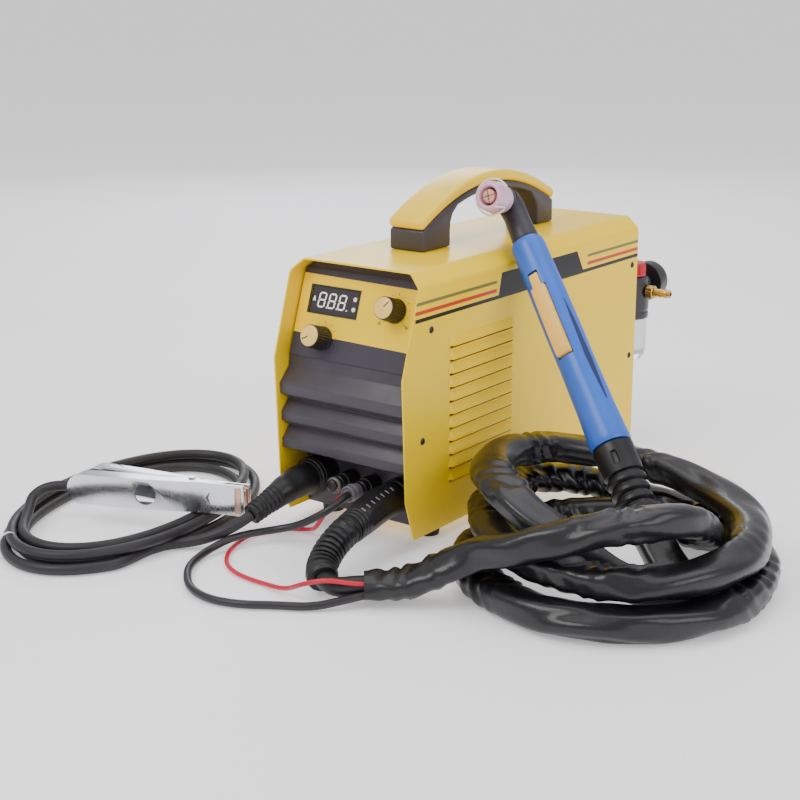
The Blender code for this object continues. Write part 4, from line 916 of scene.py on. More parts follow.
def hood_shape():
    """One closed hood: a curved skin outside, a flat back just inside the sheet."""
    columns, rows = 56, 8
    verts, faces = [], []
    for side in (0, 1):
        for c in range(columns + 1):
            along = c / columns
            ends = between(along * LOUVRE_LENGTH, 0, 0.0045) * between((1 - along) * LOUVRE_LENGTH, 0, 0.0045)
            for r in range(rows + 1):
                up = r / rows
                out = LOUVRE_PROUD * ends * cos(up * pi / 2) ** 1.15
                x = HALF_WIDTH + out if side == 0 else HALF_WIDTH - SHEET + 0.0002
                verts.append((x, LOUVRE_FRONT + along * LOUVRE_LENGTH,
                              LOUVRE_LOW + up * LOUVRE_HEIGHT * (0.35 + 0.65 * ends)))
    layer = (columns + 1) * (rows + 1)
    grid = lambda c, r, side: side * layer + c * (rows + 1) + r
    for c in range(columns):
        for r in range(rows):
            faces.append((grid(c, r, 0), grid(c + 1, r, 0), grid(c + 1, r + 1, 0), grid(c, r + 1, 0)))
            faces.append((grid(c, r, 1), grid(c, r + 1, 1), grid(c + 1, r + 1, 1), grid(c + 1, r, 1)))
        faces.append((grid(c, 0, 0), grid(c, 0, 1), grid(c + 1, 0, 1), grid(c + 1, 0, 0)))
        faces.append((grid(c, rows, 0), grid(c + 1, rows, 0), grid(c + 1, rows, 1), grid(c, rows, 1)))
    for r in range(rows):
        faces.append((grid(0, r, 0), grid(0, r + 1, 0), grid(0, r + 1, 1), grid(0, r, 1)))
        faces.append((grid(columns, r, 0), grid(columns, r, 1), grid(columns, r + 1, 1),
            grid(columns, r + 1, 0)))
    return outward_shaded(mesh_piece("louvre_hood", verts, faces, 50), 50)


print("hood shape ready")

# %% [markdown]
# Two node groups stand a shape on points and give it a material. The first makes a straight row
# from a count and a step. The second reads each point's own direction and turns it by a seed.


# %% Geometry Nodes: one shape stood on many points
def node_group(name, inputs, rows):
    """A node group with named inputs that stands its Shape on points, as real geometry with a material."""
    tree = bpy.data.node_groups.new(name, "GeometryNodeTree")
    for label, kind in inputs.items():
        tree.interface.new_socket(label, in_out="INPUT", socket_type="NodeSocket" + kind)
    tree.interface.new_socket("Geometry", in_out="OUTPUT", socket_type="NodeSocketGeometry")
    given = tree.nodes.new("NodeGroupInput")
    found = wire(tree, rows + [
        ("copy", "GeometryNodeObjectInfo", {"transform_space": "ORIGINAL"}, {"Object": "Shape"}, "Geometry"),
        ("stand", "GeometryNodeInstanceOnPoints", {},
         {"Points": "points", "Instance": "copy", "Rotation": "turn"}, "Instances"),
        ("real", "GeometryNodeRealizeInstances", {}, {"Geometry": "stand"}, "Geometry"),
        ("painted", "GeometryNodeSetMaterial", {}, {"Geometry": "real", "Material": "Material"}, "Geometry")],
        **{label: given.outputs[label] for label in inputs}, points=given.outputs["Geometry"])
    tree.links.new(found["painted"], tree.nodes.new("NodeGroupOutput").inputs["Geometry"])
    return tree


def run_nodes(name, tree, inputs, base=None, sharp=35):
    """Run a node group on a mesh and keep its result as a plain mesh object."""
    host = new_object(name, base or bpy.data.meshes.new(name))
    step = host.modifiers.new("nodes", "NODES")
    step.node_group = tree
    for item in tree.interface.items_tree:
        if item.in_out == "INPUT" and item.name in inputs:
            step[item.identifier] = inputs[item.name]
    return freeze(host, sharp)


row_inputs = {"Geometry": "Geometry", "Shape": "Object", "Count": "Int", "Step": "Vector",
              "Material": "Material"}
row_tree = node_group("row_of_pieces", row_inputs, [
    ("points", "GeometryNodeMeshLine", {"mode": "OFFSET", "count_mode": "TOTAL"},
     {"Count": "Count", "Offset": "Step"}, "Mesh"),
    ("turn", "FunctionNodeEulerToRotation", {}, {}, 0)])


def mirrored(piece, name):
    """A copy on the machine's other side."""
    mesh = piece.data.copy()
    mesh.transform(moved(MACHINE) @ Matrix.Diagonal((-1, 1, 1, 1)) @ moved(-MACHINE))
    mesh.flip_normals()
    return new_object(name, mesh)


print("row of pieces ready")

# %% Louvres pressed into the cover
hood = hood_shape()
hoods = run_nodes("louvre_hoods", row_tree, {"Shape": hood, "Count": LOUVRE_COUNT,
    "Step": (0, 0, LOUVRE_PITCH), "Material": yellow_case}, sharp=50)
discard(hood)
slot_low = LOUVRE_LOW - LOUVRE_SLOT
slot = prism("slot", [(LOUVRE_FRONT + 0.0025, slot_low), (LOUVRE_FRONT + LOUVRE_LENGTH - 0.0025, slot_low),
    (LOUVRE_FRONT + LOUVRE_LENGTH - 0.0025, LOUVRE_LOW + 0.0035),
    (LOUVRE_FRONT + 0.0025, LOUVRE_LOW + 0.0035)], HALF_WIDTH - 3 * SHEET, HALF_WIDTH + SHEET)
slots = run_nodes("louvre_slots", row_tree, {"Shape": slot, "Count": LOUVRE_COUNT,
    "Step": (0, 0, LOUVRE_PITCH), "Material": yellow_case})
discard(slot)
carve(cover, mirrored(slots, "slots_left"))
carve(cover, slots)
cover = join_pieces("case_cover", [cover, mirrored(hoods, "hoods_left"), hoods])
cover.data.set_sharp_from_angle(angle=radians(38))
settle(cover, yellow_case, "yellow_paint", "cover")
print("cover with louvres", len(cover.data.polygons))

# %% [markdown]
# The black front is one moulding. Its side outline has three slats that lean out like a blind,
# each with a rounded lip, then the connector panel. The slanted control plate lies on it.


# %% Finish: charcoal moulding and printed control plate
charcoal = soft_black("textured_charcoal_moulding", "#3A363E", "#46424B", 0.40, 0.7, 0.035, specular=0.45)


def to_panel(x, down, lift=0.0):
    """A place on the slanted panel: across, down the slope and off its face."""
    return Vector((x, 0, 0)) + PANEL_TOP + PANEL_DOWN * down + PANEL_OUT * lift


def panel_stand(x, down, lift=0.0):
    """Local X across, Y up the slope, Z out of the panel."""
    return axes_at(Vector((1, 0, 0)), -PANEL_DOWN, PANEL_OUT, to_panel(x, down, lift))


CURRENT_KNOB, GAS_KNOB = (0.0385, 0.0275), (-0.0336, 0.0612)


def plate_print():
    """Yellow film with black bands at the top and bottom, printed in the plate's own UV metres."""
    values = {"Roughness": 0.36, "IOR": 1.5, "Specular IOR Level": 0.35}
    made, tree, shader = new_material("printed_yellow_control_film", values)
    found = wire(tree, [
        ("uv", "ShaderNodeUVMap", {"uv_map": "plate"}, {}, "UV"),
        ("across", "ShaderNodeSeparateXYZ", {}, {"Vector": "uv"}, "X"),
        ("down", "ShaderNodeSeparateXYZ", {}, {"Vector": "uv"}, "Y"),
        ("place", "ShaderNodeTexCoord", {}, {}, "Object"),
        ("cloud", "ShaderNodeTexNoise", {}, {"Vector": "place", "Scale": 12.0}, 0),
        ("fine", "ShaderNodeTexNoise", {}, {"Vector": "place", "Scale": 1500.0}, 0),
        ("slope", "MULTIPLY", "across", 0.012), ("edge", "ADD", 0.0066, "slope"),
        ("top_band", "LESS_THAN", "down", "edge"), ("slope", "MULTIPLY", "across", 0.018),
        ("edge", "ADD", 0.0599, "slope"), ("low_band", "GREATER_THAN", "down", "edge"),
        ("from_x", "SUBTRACT", "across", GAS_KNOB[0]), ("from_x", "MULTIPLY", "from_x", "from_x"),
        ("from_down", "SUBTRACT", "down", GAS_KNOB[1]), ("from_down", "MULTIPLY", "from_down", "from_down"),
        ("away", "ADD", "from_x", "from_down"), ("disc", "LESS_THAN", "away", 0.0152 ** 2),
        ("upper", "LESS_THAN", "down", GAS_KNOB[1] - 0.0015), ("disc", "MULTIPLY", "disc", "upper"),
        ("outside", "SUBTRACT", 1.0, "disc"), ("low_band", "MULTIPLY", "low_band", "outside"),
        ("black", "MAXIMUM", "top_band", "low_band"),
        ("film", "ShaderNodeMix", {"data_type": "RGBA"},
         {0: "cloud", 6: colour("#FFD000"), 7: colour("#FFD806")}, 2),
        ("painted", "ShaderNodeMix", {"data_type": "RGBA"}, {0: "black", 6: "film", 7: colour("#413D46")}, 2),
        ("relief", "ShaderNodeBump", {}, {"Height": "fine", "Strength": 0.3, "Distance": 0.00002}, 0)])
    tree.links.new(found["painted"], shader.inputs["Base Color"])
    tree.links.new(found["relief"], shader.inputs["Normal"])
    return made


control_film = plate_print()
print("front finishes ready")

# %% Front moulding: slats and connector panel
behind = 0.0015
slats = mm(((17, 143.5, 4.9, 130.7, 121.1), (15.5, 114.2, 6.1, 104.4, 96.1), (15.5, 88.9, 6.7, 79.1, 70.7)))
rise = 0.0104 / cos(PANEL_LEAN)


def slope_yz(down, depth):
    point = to_panel(0, down, -depth)
    return point.y, point.z


front_outline = [slope_yz(-rise + 0.003, behind), slope_yz(PANEL_LENGTH, behind)]
for root, root_z, lip, lip_top, lip_low in slats:
    front_outline += [(FRONT + root, root_z), (FRONT + lip, lip_top), (FRONT + lip, lip_low)]
front_outline += [(PORT_FACE, 0.0640), (PORT_FACE, CASE_LOW + 0.0006), (PORT_FACE + 0.003, CASE_LOW + 0.0006),
                  (PORT_FACE + 0.003, 0.067), (FRONT + 0.026, 0.078),
                  slope_yz(PANEL_LENGTH + 0.006, behind + 0.003), slope_yz(-rise + 0.003, behind + 0.003)]
front_half = HALF_WIDTH - SHEET - 0.0003
bezel = prism("front_moulding", front_outline, -front_half, front_half)
under_fold = [(-front_half, 0.0), (-front_half, shoulder - 0.0012),
              (-(HALF_WIDTH - CHAMFER_WIDTH - 0.0012), CASE_TOP - SHEET - 0.0004)]
under_fold += [(-x, z) for x, z in reversed(under_fold)]
carve(bezel, prism("inside_case", under_fold, FRONT - 0.01, FRONT + 0.08, axis="y"), "INTERSECT")
soften(bezel, 0.0012, 3, angle=24, sharp=50)
settle(bezel, charcoal, "black_moulding", "front_bezel")
print("front moulding", len(bezel.data.polygons))

# %% Control plate with its window opening
plate_half = HALF_WIDTH - SHEET - 0.0020
WINDOW_PLACE, WINDOW_SIZE = (-0.0290, 0.0276), (0.0535, 0.0240)
window_x = [WINDOW_PLACE[0] - WINDOW_SIZE[0] / 2, WINDOW_PLACE[0] + WINDOW_SIZE[0] / 2]
window_down = [WINDOW_PLACE[1] - WINDOW_SIZE[1] / 2, WINDOW_PLACE[1] + WINDOW_SIZE[1] / 2]
xs = [-plate_half] + window_x + [plate_half]
downs = [0.0006] + window_down + [PANEL_LENGTH]
verts = [to_panel(x, down, lift) for lift in (0.0, -0.0012) for down in downs for x in xs]
faces = []
for row in range(3):
    for column in range(3):
        if (row, column) != (1, 1):
            a = row * 4 + column
            faces += [(a, a + 4, a + 5, a + 1), (a + 16, a + 17, a + 21, a + 20)]
edge_loops = [[0, 1, 2, 3, 7, 11, 15, 14, 13, 12, 8, 4], [5, 9, 10, 6]]
for loop in edge_loops:
    faces += [(a, b, b + 16, a + 16) for a, b in zip(loop, loop[1:] + loop[:1])]
plate = outward_shaded(mesh_piece("control_plate_film", verts, faces))
layer = plate.data.uv_layers.new(name="plate")
for corner in plate.data.loops:
    offset = plate.data.vertices[corner.vertex_index].co - MACHINE - PANEL_TOP
    layer.data[corner.index].uv = (offset.x, offset.dot(PANEL_DOWN))
settle(plate, control_film, "yellow_paint", "control_plate")
print("control plate", len(plate.data.polygons))

# %% [markdown]
# Behind a smoked window stand three red-lit digits of seven segments. The window's frame is a
# thin black ring. Beside it are an amp mark and two status lamps. Printed marks are thin raised
# shapes, 0.1 mm proud, so that they read as ink and never share a face with the plate.


# %% Display, lamps and printed marks
def plates(name, shapes, low, high, stand):
    """Flat outlines (x, y) in a stand's frame, each given a thickness from low to high."""
    verts, faces = [], []
    for outline in shapes:
        base, count = len(verts), len(outline)
        for z in (low, high):
            verts += [stand @ Vector((x, y, z)) for x, y in outline]
        faces += [tuple(base + i for i in range(count)), tuple(base + count + i for i in range(count))[::-1]]
        faces += [(base + i, base + (i + 1) % count, base + count + (i + 1) % count, base + count + i)
                  for i in range(count)]
    return outward_shaded(mesh_piece(name, verts, faces))


def bar(x, y, long, wide, turn=0.0, cut=0.5):
    """A six-sided bar: a digit's segment with pointed ends."""
    half, side = long / 2, wide / 2
    shape = [(-half, 0), (-half + side * cut, side), (half - side * cut, side), (half, 0),
             (half - side * cut, -side), (-half + side * cut, -side)]
    c, s = cos(turn), sin(turn)
    return [(x + c * u - s * v, y + s * u + c * v) for u, v in shape]


print("outline helpers ready")

# %% Window pane
smoked = faint("smoked_acrylic_window", {"Roughness": 0.10, "IOR": 1.49, "Coat Weight": 0.5,
    "Coat Roughness": 0.04}, "#2B2528", "#352D2F", 60.0)
window = plates("display_window_pane", mm([[(-26.3, -11.7), (26.3, -11.7), (26.3, 11.7), (-26.3, 11.7)]]),
    -0.0042, -0.0006, panel_stand(*WINDOW_PLACE))
settle(window, smoked, "smoked_window", "display_window")
print("window", len(window.data.polygons))

# %% Digits and the window's frame
def lamp_look(name, code, strength):
    """A lit diode seen through a diffusing face."""
    values = {"Roughness": 0.35, "Emission Strength": strength}
    return faint(name, values, code, "#FFFFFF", 900.0, "Emission Color")


segment_look = lamp_look("lit_digit_segment", "#E9DDD8", 0.55)
segments = []
for digit in range(3):
    x = -0.0138 + 0.0112 * digit
    for dx, dy, turn in ((0, 0.0062, 0), (0, 0, 0), (0, -0.0062, 0), (-0.0034, 0.0031, 1),
            (0.0034, 0.0031, 1), (-0.0034, -0.0031, 1), (0.0034, -0.0031, 1)):
        segments.append(bar(x + dx + dy * 0.10, dy, 0.0058, 0.0013, radians(84) if turn else 0.0, 0.9))
    segments.append([(x + 0.0056, -0.0069), (x + 0.0068, -0.0069), (x + 0.0068, -0.0057),
        (x + 0.0056, -0.0057)])
for dx, dy, long, turn in ((-0.0231, 0.0004, 0.0046, 75), (-0.0219, 0.0004, 0.0046, 105),
        (-0.0225, -0.0004, 0.0018, 0)):
    segments.append(bar(dx, dy, long, 0.0007, radians(turn), 0.2))
digits = plates("display_digits", segments, -0.0006, -0.00045, panel_stand(*WINDOW_PLACE))
settle(digits, segment_look, "smoked_window")

frame_shape = plates("window_frame", mm([[(-27.5, -12.8), (27.5, -12.8), (27.5, 12.8), (-27.5, 12.8)]]),
                     0.0001, 0.0006, panel_stand(*WINDOW_PLACE))
hole = plates("hole", mm([[(-26.2, -11.6), (26.2, -11.6), (26.2, 11.6), (-26.2, 11.6)]]),
              -0.001, 0.002, panel_stand(*WINDOW_PLACE))
carve(frame_shape, hole)
settle(frame_shape, black_abs, "black_moulding")
print("digits", len(segments))

# %% Ticks and numbers round the dials
ink = faint("black_screen_print_ink", {"Roughness": 0.5}, "#181617", "#232021", 300.0)


def seven_segment_shapes(text, x, y, tall):
    """Small figures made of straight strokes, for the numbers round a dial."""
    strokes = {"0": "abcdef", "1": "bc", "2": "abged", "3": "abgcd", "4": "fgbc", "5": "afgcd", "6": "afgedc"}
    wide, shapes = tall * 0.55, []
    for index, figure in enumerate(text):
        left = x + index * tall * 0.82
        ends = {"a": (0, tall / 2, 0), "g": (0, 0, 0), "d": (0, -tall / 2, 0), "f": (-wide / 2, tall / 4, 1),
                "b": (wide / 2, tall / 4, 1), "e": (-wide / 2, -tall / 4, 1), "c": (wide / 2, -tall / 4, 1)}
        for key in strokes[figure]:
            dx, dy, turn = ends[key]
            shapes.append(bar(left + dx, y + dy, (tall / 2 if turn else wide) * 1.05, tall * 0.16,
                              pi / 2 if turn else 0.0))
    return shapes


marks = []
for (x, down), clear in ((CURRENT_KNOB, 0.0138), (GAS_KNOB, 0.0135)):
    y = -down
    for index in range(11):
        angle = radians(225 - 27 * index)
        reach = clear + (0.0009 if index % 5 == 0 else 0.0005)
        marks.append(bar(x + reach * cos(angle), y + reach * sin(angle),
                         0.0024 if index % 5 == 0 else 0.0014, 0.0004, angle, 0.1))
    if x > 0:
        marks += seven_segment_shapes("20", x - 0.0158, y - 0.0122, 0.0022)
        marks += seven_segment_shapes("60", x + 0.0130, y - 0.0122, 0.0022)
printed_ink = plates("dial_marks", marks, 0.00002, 0.00012, panel_stand(0, 0))
settle(printed_ink, ink, "yellow_paint")
print("marks", len(marks))

# %% Status lamps
lamp_parts = []
for down in (0.0232, 0.0322):
    lamp_parts.append(lathe("lamp", mm([(0, 0.4), (1.2, 0.3), (2, -0.2), (2, -0.6), (0, -0.6)]),
        panel_stand(-0.0068, down), 28))
lamps = join_pieces("status_lamps", lamp_parts)
settle(lamps, lamp_look("pale_status_lamp", "#C9C0A4", 0.12), "smoked_window")
print("lamps ready")

# %% [markdown]
# The two knobs are the same fluted moulding: a collar against the plate, a skirt of flutes for
# the fingers, and a pale cap with a pointer line. The flutes are cut into the turned radius, so
# the silhouette shows them. Each knob belongs to its own turning body.

# %% Knobs
cap_plastic = bright_plastic("pale_yellow_knob_cap", "#F6CF74", "#EFC364", 0.34)


def fluted(name, rows, flutes, place, steps=180):
    """A turned knob whose radius is scalloped: rows of (radius, height, flute depth)."""
    verts = []
    for radius, high, depth in rows:
        for step in range(steps):
            angle = tau * step / steps
            dip = depth * (0.5 + 0.5 * cos(flutes * angle)) ** 2
            verts.append(place @ Vector(((radius - dip) * cos(angle), (radius - dip) * sin(angle), high)))
    return skinned(name, verts, steps, [place @ Vector((0, 0, row[1])) for row in (rows[0], rows[-1])], 32)


for node, place, pointing_at in (("current_knob", CURRENT_KNOB, -40), ("gas_time_knob", GAS_KNOB, 120)):
    stand = panel_stand(*place) @ turned(pointing_at, "Z")
    skirt = fluted(node + "_skirt", mm([(3, 0.7, 0), (10.6, 0.7, 0), (10.9, 1.2, 0), (10.9, 2.2, 0),
        (10.6, 2.7, 0), (10.4, 3, 0), (10.4, 4, 0.7), (10.2, 16.5, 0.7), (10.1, 18, 0.4), (9.8, 18.8, 0),
        (9.2, 19, 0)]), 24, stand)
    settle(skirt, black_abs, "black_moulding", node, body=node)
    cap = lathe(node + "_cap", mm([(0, 19.9), (8.6, 19.9), (9, 19.7), (9.2, 19.3), (9.2, 18.4), (0, 18.4)]),
        stand, 60)
    settle(cap, cap_plastic, "black_moulding", body=node)
    line = plates(node + "_pointer", mm([[(-0.5, 1.2), (0.5, 1.2), (0.5, 7.8), (-0.5, 7.8)]]), 0.01992,
        0.01999, stand)
    settle(line, ink, "black_moulding", body=node)
print("knobs ready")

# %% [markdown]
# Four black screws hold each side. Their heads are low domes with a cross recess. One screw is
# built, and Geometry Nodes stands it on every marked point, turned by the point's own direction.


# %% Side screws, stood on points by Geometry Nodes
point_inputs = {"Geometry": "Geometry", "Shape": "Object", "Seed": "Int", "Material": "Material"}
points_tree = node_group("pieces_on_points", point_inputs, [
    ("facing", "GeometryNodeInputNamedAttribute", {"data_type": "FLOAT_VECTOR"},
     {"Name": "facing"}, "Attribute"),
    ("align", "FunctionNodeAlignRotationToVector", {"axis": "Z"}, {"Vector": "facing"}, "Rotation"),
    ("spin", "FunctionNodeRandomValue", {"data_type": "FLOAT"},
     {"Min": 0.0, "Max": 3.1416, "Seed": "Seed"}, 1),
    ("about", "ShaderNodeCombineXYZ", {}, {"Z": "spin"}, "Vector"),
    ("turn", "FunctionNodeRotateRotation", {"rotation_space": "LOCAL"},
     {"Rotation": "align", "Rotate By": "about"}, "Rotation")])


def scattered(name, shape, rows, look, seed=7):
    """One shape on each (place, direction) row."""
    points = bpy.data.meshes.new(name + "_points")
    points.from_pydata([Vector(place) + MACHINE for place, _ in rows], [], [])
    facing = points.attributes.new("facing", "FLOAT_VECTOR", "POINT")
    for index, (_, direction) in enumerate(rows):
        facing.data[index].vector = direction
    return run_nodes(name, points_tree, {"Shape": shape, "Seed": seed, "Material": look}, points)


def at_origin(piece):
    """A helper shape moved back so that it stands on the origin."""
    piece.data.transform(moved(-MACHINE))
    return piece


def cross_screw(radius, high):
    """A low domed head with a cross recess, standing on the origin."""
    head = at_origin(lathe("screw", [(0, high), (radius * 0.45, high * 0.95), (radius * 0.8, high * 0.65),
        (radius, high * 0.2), (radius, -0.0004), (0, -0.0004)], Matrix.Identity(4), 28))
    for turn in (0, pi / 2):
        cutter = plates("cross", [bar(0, 0, radius * 1.3, radius * 0.26, turn, 0.3)], high * 0.3, high * 2,
                        Matrix.Identity(4))
        carve(head, at_origin(cutter))
    return head


zinc_black = soft_black("black_zinc_screw", "#1C1B1D", "#2C2B2E", 0.36, 0.5, 0.02)
screw = cross_screw(0.0031, 0.0014)
rows = [((side * HALF_WIDTH, y, z), (side, 0, 0)) for side in (-1, 1)
        for y, z in mm(((-159.3, 191), (-171.5, 95.9), (188.4, 192.5), (188.9, 98.6)))]
side_screws = scattered("side_screws", screw, rows, zinc_black)
settle(side_screws, None, "bright_steel")
discard(screw)
print("screws", len(rows))

# %% [markdown]
# The handle is two mouldings: a charcoal arch on two legs, and a yellow grip laid along its top.
# Both are drawn from the side as arcs, given the handle's width, and rounded at every edge. The
# grip overhangs by a millimetre on each side, so a fine shadow line parts the two colours.


# %% Carrying handle
HANDLE_X, HANDLE_WIDTH = -0.0050, 0.0370
HANDLE_FRONT, HANDLE_REAR, PEAK_Y = -0.0955, 0.1290, 0.0200


def arch_points(front, rear, peak, count=41):
    reach = PEAK_Y - HANDLE_FRONT
    return [(front + (rear - front) * i / (count - 1),
             peak - 0.0340 * (((front + (rear - front) * i / (count - 1)) - PEAK_Y) / reach) ** 2)
            for i in range(count)]


base = CASE_TOP + 0.0003
split = arch_points(HANDLE_FRONT + 0.003, HANDLE_REAR - 0.003, CASE_TOP + 0.0505)
inner = arch_points(-0.0500 + 0.012, 0.0980 - 0.012, CASE_TOP + 0.0445)
leg_front = [(-0.0500, base), (-0.0500, CASE_TOP + 0.016), (-0.0492, CASE_TOP + 0.022),
    (-0.0460, CASE_TOP + 0.029)]
leg_rear = [(0.0980, base), (0.0980, CASE_TOP + 0.014), (0.0970, CASE_TOP + 0.019),
    (0.0935, CASE_TOP + 0.025)]
body_outline = ([(HANDLE_FRONT + 0.003, base)] + split + [(HANDLE_REAR - 0.003, base)] + leg_rear
    + inner[::-1] + leg_front[::-1])
low_x, high_x = HANDLE_X - HANDLE_WIDTH / 2, HANDLE_X + HANDLE_WIDTH / 2
handle_body = prism("handle_arch", body_outline, low_x, high_x)
soften(handle_body, 0.0018, 4, angle=34, sharp=50)
settle(handle_body, charcoal, "black_moulding", "handle_body")
outer = arch_points(HANDLE_FRONT, HANDLE_REAR, CASE_TOP + 0.0610)
grip_low = [(y, z + 0.0003) for y, z in split]
grip = prism("handle_top_grip", outer + grip_low[::-1], low_x - 0.001, high_x + 0.001)
soften(grip, 0.0042, 5, angle=34, sharp=60)
yellow_abs = bright_plastic("moulded_yellow_abs", "#FFD806", "#FFCE00", 0.34, coat=0.1)
settle(grip, yellow_abs, "yellow_plastic", "handle_grip")
print("handle", len(handle_body.data.polygons) + len(grip.data.polygons))

# %% [markdown]
# The torch leans on the case. Its blue handle is two glass-filled nylon shells: oval, a little
# waisted, flaring to the lower end. Its section is drawn at many stations. The pale lever sits in
# a stepped pocket. Screw pockets show on the edge, near the top and the bottom.


# %% Torch axis and handle
torch_axis = Vector((0.6248, -0.3308, -0.7073)).normalized()
torch_top = Vector((0.0795, -0.0256, 0.2464))
HANDLE_LONG = 0.2100
nozzle_axis = Vector((0.0650, -0.9650, 0.2500)).normalized()
torch_up = -torch_axis
torch_across = (nozzle_axis - torch_up * nozzle_axis.dot(torch_up)).normalized()
torch_third = torch_up.cross(torch_across)
torch_foot = torch_top + torch_axis * HANDLE_LONG
torch = axes_at(torch_across, torch_third, torch_up, torch_foot)
blue_nylon = bright_plastic("moulded_blue_nylon", "#2F6BD0", "#275CC0", 0.38, coat=0.12, grain_mm=0.7)
# a darker blue, used for the painted shade along the handle shell's far edge
blue_shadow = bright_plastic("dark_blue_painted_shade", "#1B2C66", "#16244F", 0.5)
print("torch axis", torch_axis)

# %% Lofted shell and blocks
def lofted(name, stations, place, sides=72, power=1.0, sharp=34):
    """A closed shape along local Z: stations are (height, half across, half deep, shift)."""
    verts = []
    for high, wide, deep, shift in stations:
        for step in range(sides):
            angle = tau * step / sides
            c, s = cos(angle), sin(angle)
            x = wide * copysign(abs(c) ** power, c) + shift
            y = deep * copysign(abs(s) ** power, s)
            verts.append(place @ Vector((x, y, high)))
    ends = [place @ Vector((row[3], 0, row[0])) for row in (stations[0], stations[-1])]
    return skinned(name, verts, sides, ends, sharp)


def along_rows(rows, count):
    """Stations at an even spacing, smoothly between rows that start with a height."""
    low, high, made = rows[0][0], rows[-1][0], []
    for index in range(count + 1):
        at = low + (high - low) * index / count
        for a, b in zip(rows, rows[1:]):
            if a[0] - 1e-9 <= at <= b[0] + 1e-9:
                t = (at - a[0]) / (b[0] - a[0])
                t = 0.5 * t + 0.5 * t * t * (3 - 2 * t)
                made.append(tuple([at] + [p + (q - p) * t for p, q in zip(a[1:], b[1:])]))
                break
    return made


handle_rows = mm([(0.6, 17.2, 17, 0), (4, 18, 17.8, 0), (16, 17.6, 17.2, 0), (40, 16.8, 16.4, 0),
    (85, 16.8, 15.8, 0), (110, 16.6, 16, 0), (150, 16, 15.8, 0), (185, 15.3, 15.3, 0), (206, 15, 15, 0),
    (209.8, 14, 14, 0)])
shell = lofted("torch_blue_shell", along_rows(handle_rows, 84), torch, power=0.92)


def block(name, low, high, place, shear=0.0):
    """A box between two corners in a local frame; shear leans its top across."""
    verts = [place @ Vector((x + shear * (z - low[2]), y, z)) for x in (low[0], high[0])
             for y in (low[1], high[1]) for z in (low[2], high[2])]
    faces = [(0, 1, 3, 2), (4, 6, 7, 5), (0, 4, 5, 1), (2, 3, 7, 6), (0, 2, 6, 4), (1, 5, 7, 3)]
    return outward_shaded(mesh_piece(name, verts, faces))


pocket_low, pocket_high, pocket_step = 0.0868, 0.1740, 0.1588
carve(shell, block("pocket", (0.0070, -0.0076, pocket_low), (0.03, 0.0076, pocket_step), torch))
carve(shell, block("pocket", (0.0070, -0.0048, pocket_step - 0.001), (0.03, 0.0048, pocket_high), torch))
for high in (0.1975, 0.0230):
    place = torch @ moved((0.0015, -0.0175, high)) @ turned(90, "X")
    carve(shell, lathe("screw_pocket", mm([(0, 6), (3.3, 6), (3.3, -6.5), (0, -6.5)]), place, 28))
settle(shell, blue_nylon, "blue_plastic", "torch_handle")

# a long dark blue strip laid on the far edge of the shell: painted shade where that edge turns from the light
shade_strip_rows = mm([(18, 0.4, 0.4, 0), (42, 2, 0.6, 0), (80, 3.2, 0.7, 0), (115, 2.2, 0.6, 0),
    (140, 0.3, 0.3, 0)])
shade_strip = lofted("torch_edge_scallop", along_rows(shade_strip_rows, 30), torch @ turned(66, "Z")
                @ moved((0.0162, 0, 0)) @ turned(90, "Z"), sides=16)
settle(shade_strip, blue_shadow, "blue_plastic")
screw = cross_screw(0.0024, 0.0008)
facing = torch.to_3x3() @ Vector((0, -1, 0))
shell_screws = scattered("torch_shell_screws", screw, [(torch @ Vector((0.0015, -0.0112, high)), facing)
    for high in (0.1975, 0.0230)], zinc_black)
settle(shell_screws, None, "bright_steel")
discard(screw)
print("torch handle", len(shell.data.polygons))

# %% [markdown]
# The lever is one pale yellow-orange moulding: wide and slightly domed below, narrower at its
# stepped top. It is a body of its own, since it presses into the handle.

# %% Torch lever
lever_plastic = bright_plastic("moulded_pale_orange_lever", "#FBC75E", "#F4BC52", 0.38)
lever_side = mm([(12.5, 172), (16.8, 171.3), (17.8, 165), (18.6, 148), (20.3, 113), (20.4, 93.8),
    (19.8, 89.6), (18.6, 88), (13.7, 88)])
# stands an outline on its edge, so that its thickness runs sideways
flat = Matrix(((1, 0, 0, 0), (0, 0, -1, 0), (0, 1, 0, 0), (0, 0, 0, 1)))
lever = plates("torch_lever", [lever_side], -0.0069, 0.0069, torch @ flat)
for side in (-1, 1):
    edges = sorted((side * 0.0042, side * 0.0120))
    carve(lever, block("step", (0.0, edges[0], 0.1578), (0.03, edges[1], 0.19), torch))
soften(lever, 0.0011, 3, angle=30, sharp=50)
settle(lever, lever_plastic, "yellow_plastic", "torch_trigger", body="torch_trigger")
print("lever ready")

# %% [markdown]
# The head: a bent glass-filled neck, a pink ceramic nozzle with a rounded rim, the copper tip
# inside it, and a sprung white wire loop that keeps the tip off the work.

# %% Torch head, nozzle, tip and spacer
neck_black = soft_black("moulded_black_neck", "#242129", "#322F38", 0.38, 0.6, 0.03)
local_nose = torch.to_3x3().inverted() @ nozzle_axis
elbow = Vector((0, 0, HANDLE_LONG + 0.046))
head_end = elbow + local_nose * 0.0165
neck_line = [Vector((0, 0, HANDLE_LONG + 0.0003)), Vector((0, 0, HANDLE_LONG + 0.020)),
             Vector((0, 0, HANDLE_LONG + 0.032)), elbow + local_nose * 0.0018 - Vector((0, 0, 0.0055)),
             elbow + local_nose * 0.0060, head_end]
neck_line = smooth_line([torch @ p for p in neck_line], 0.0014)


def neck_section(walked, angle, here, total):
    """Oval and narrower than the handle, full again at the nozzle's collar."""
    share = walked / total
    radius = 0.0123 - 0.0010 * between(share, 0, 0.4) + 0.0006 * between(share, 0.5, 0.7)
    radius -= 0.0012 * between(share, 0.97, 1.0) + 0.0010 * (1 - between(share, 0, 0.03))
    if 0.86 < share < 0.885:
        radius -= 0.0004
    return round_at(radius, angle)


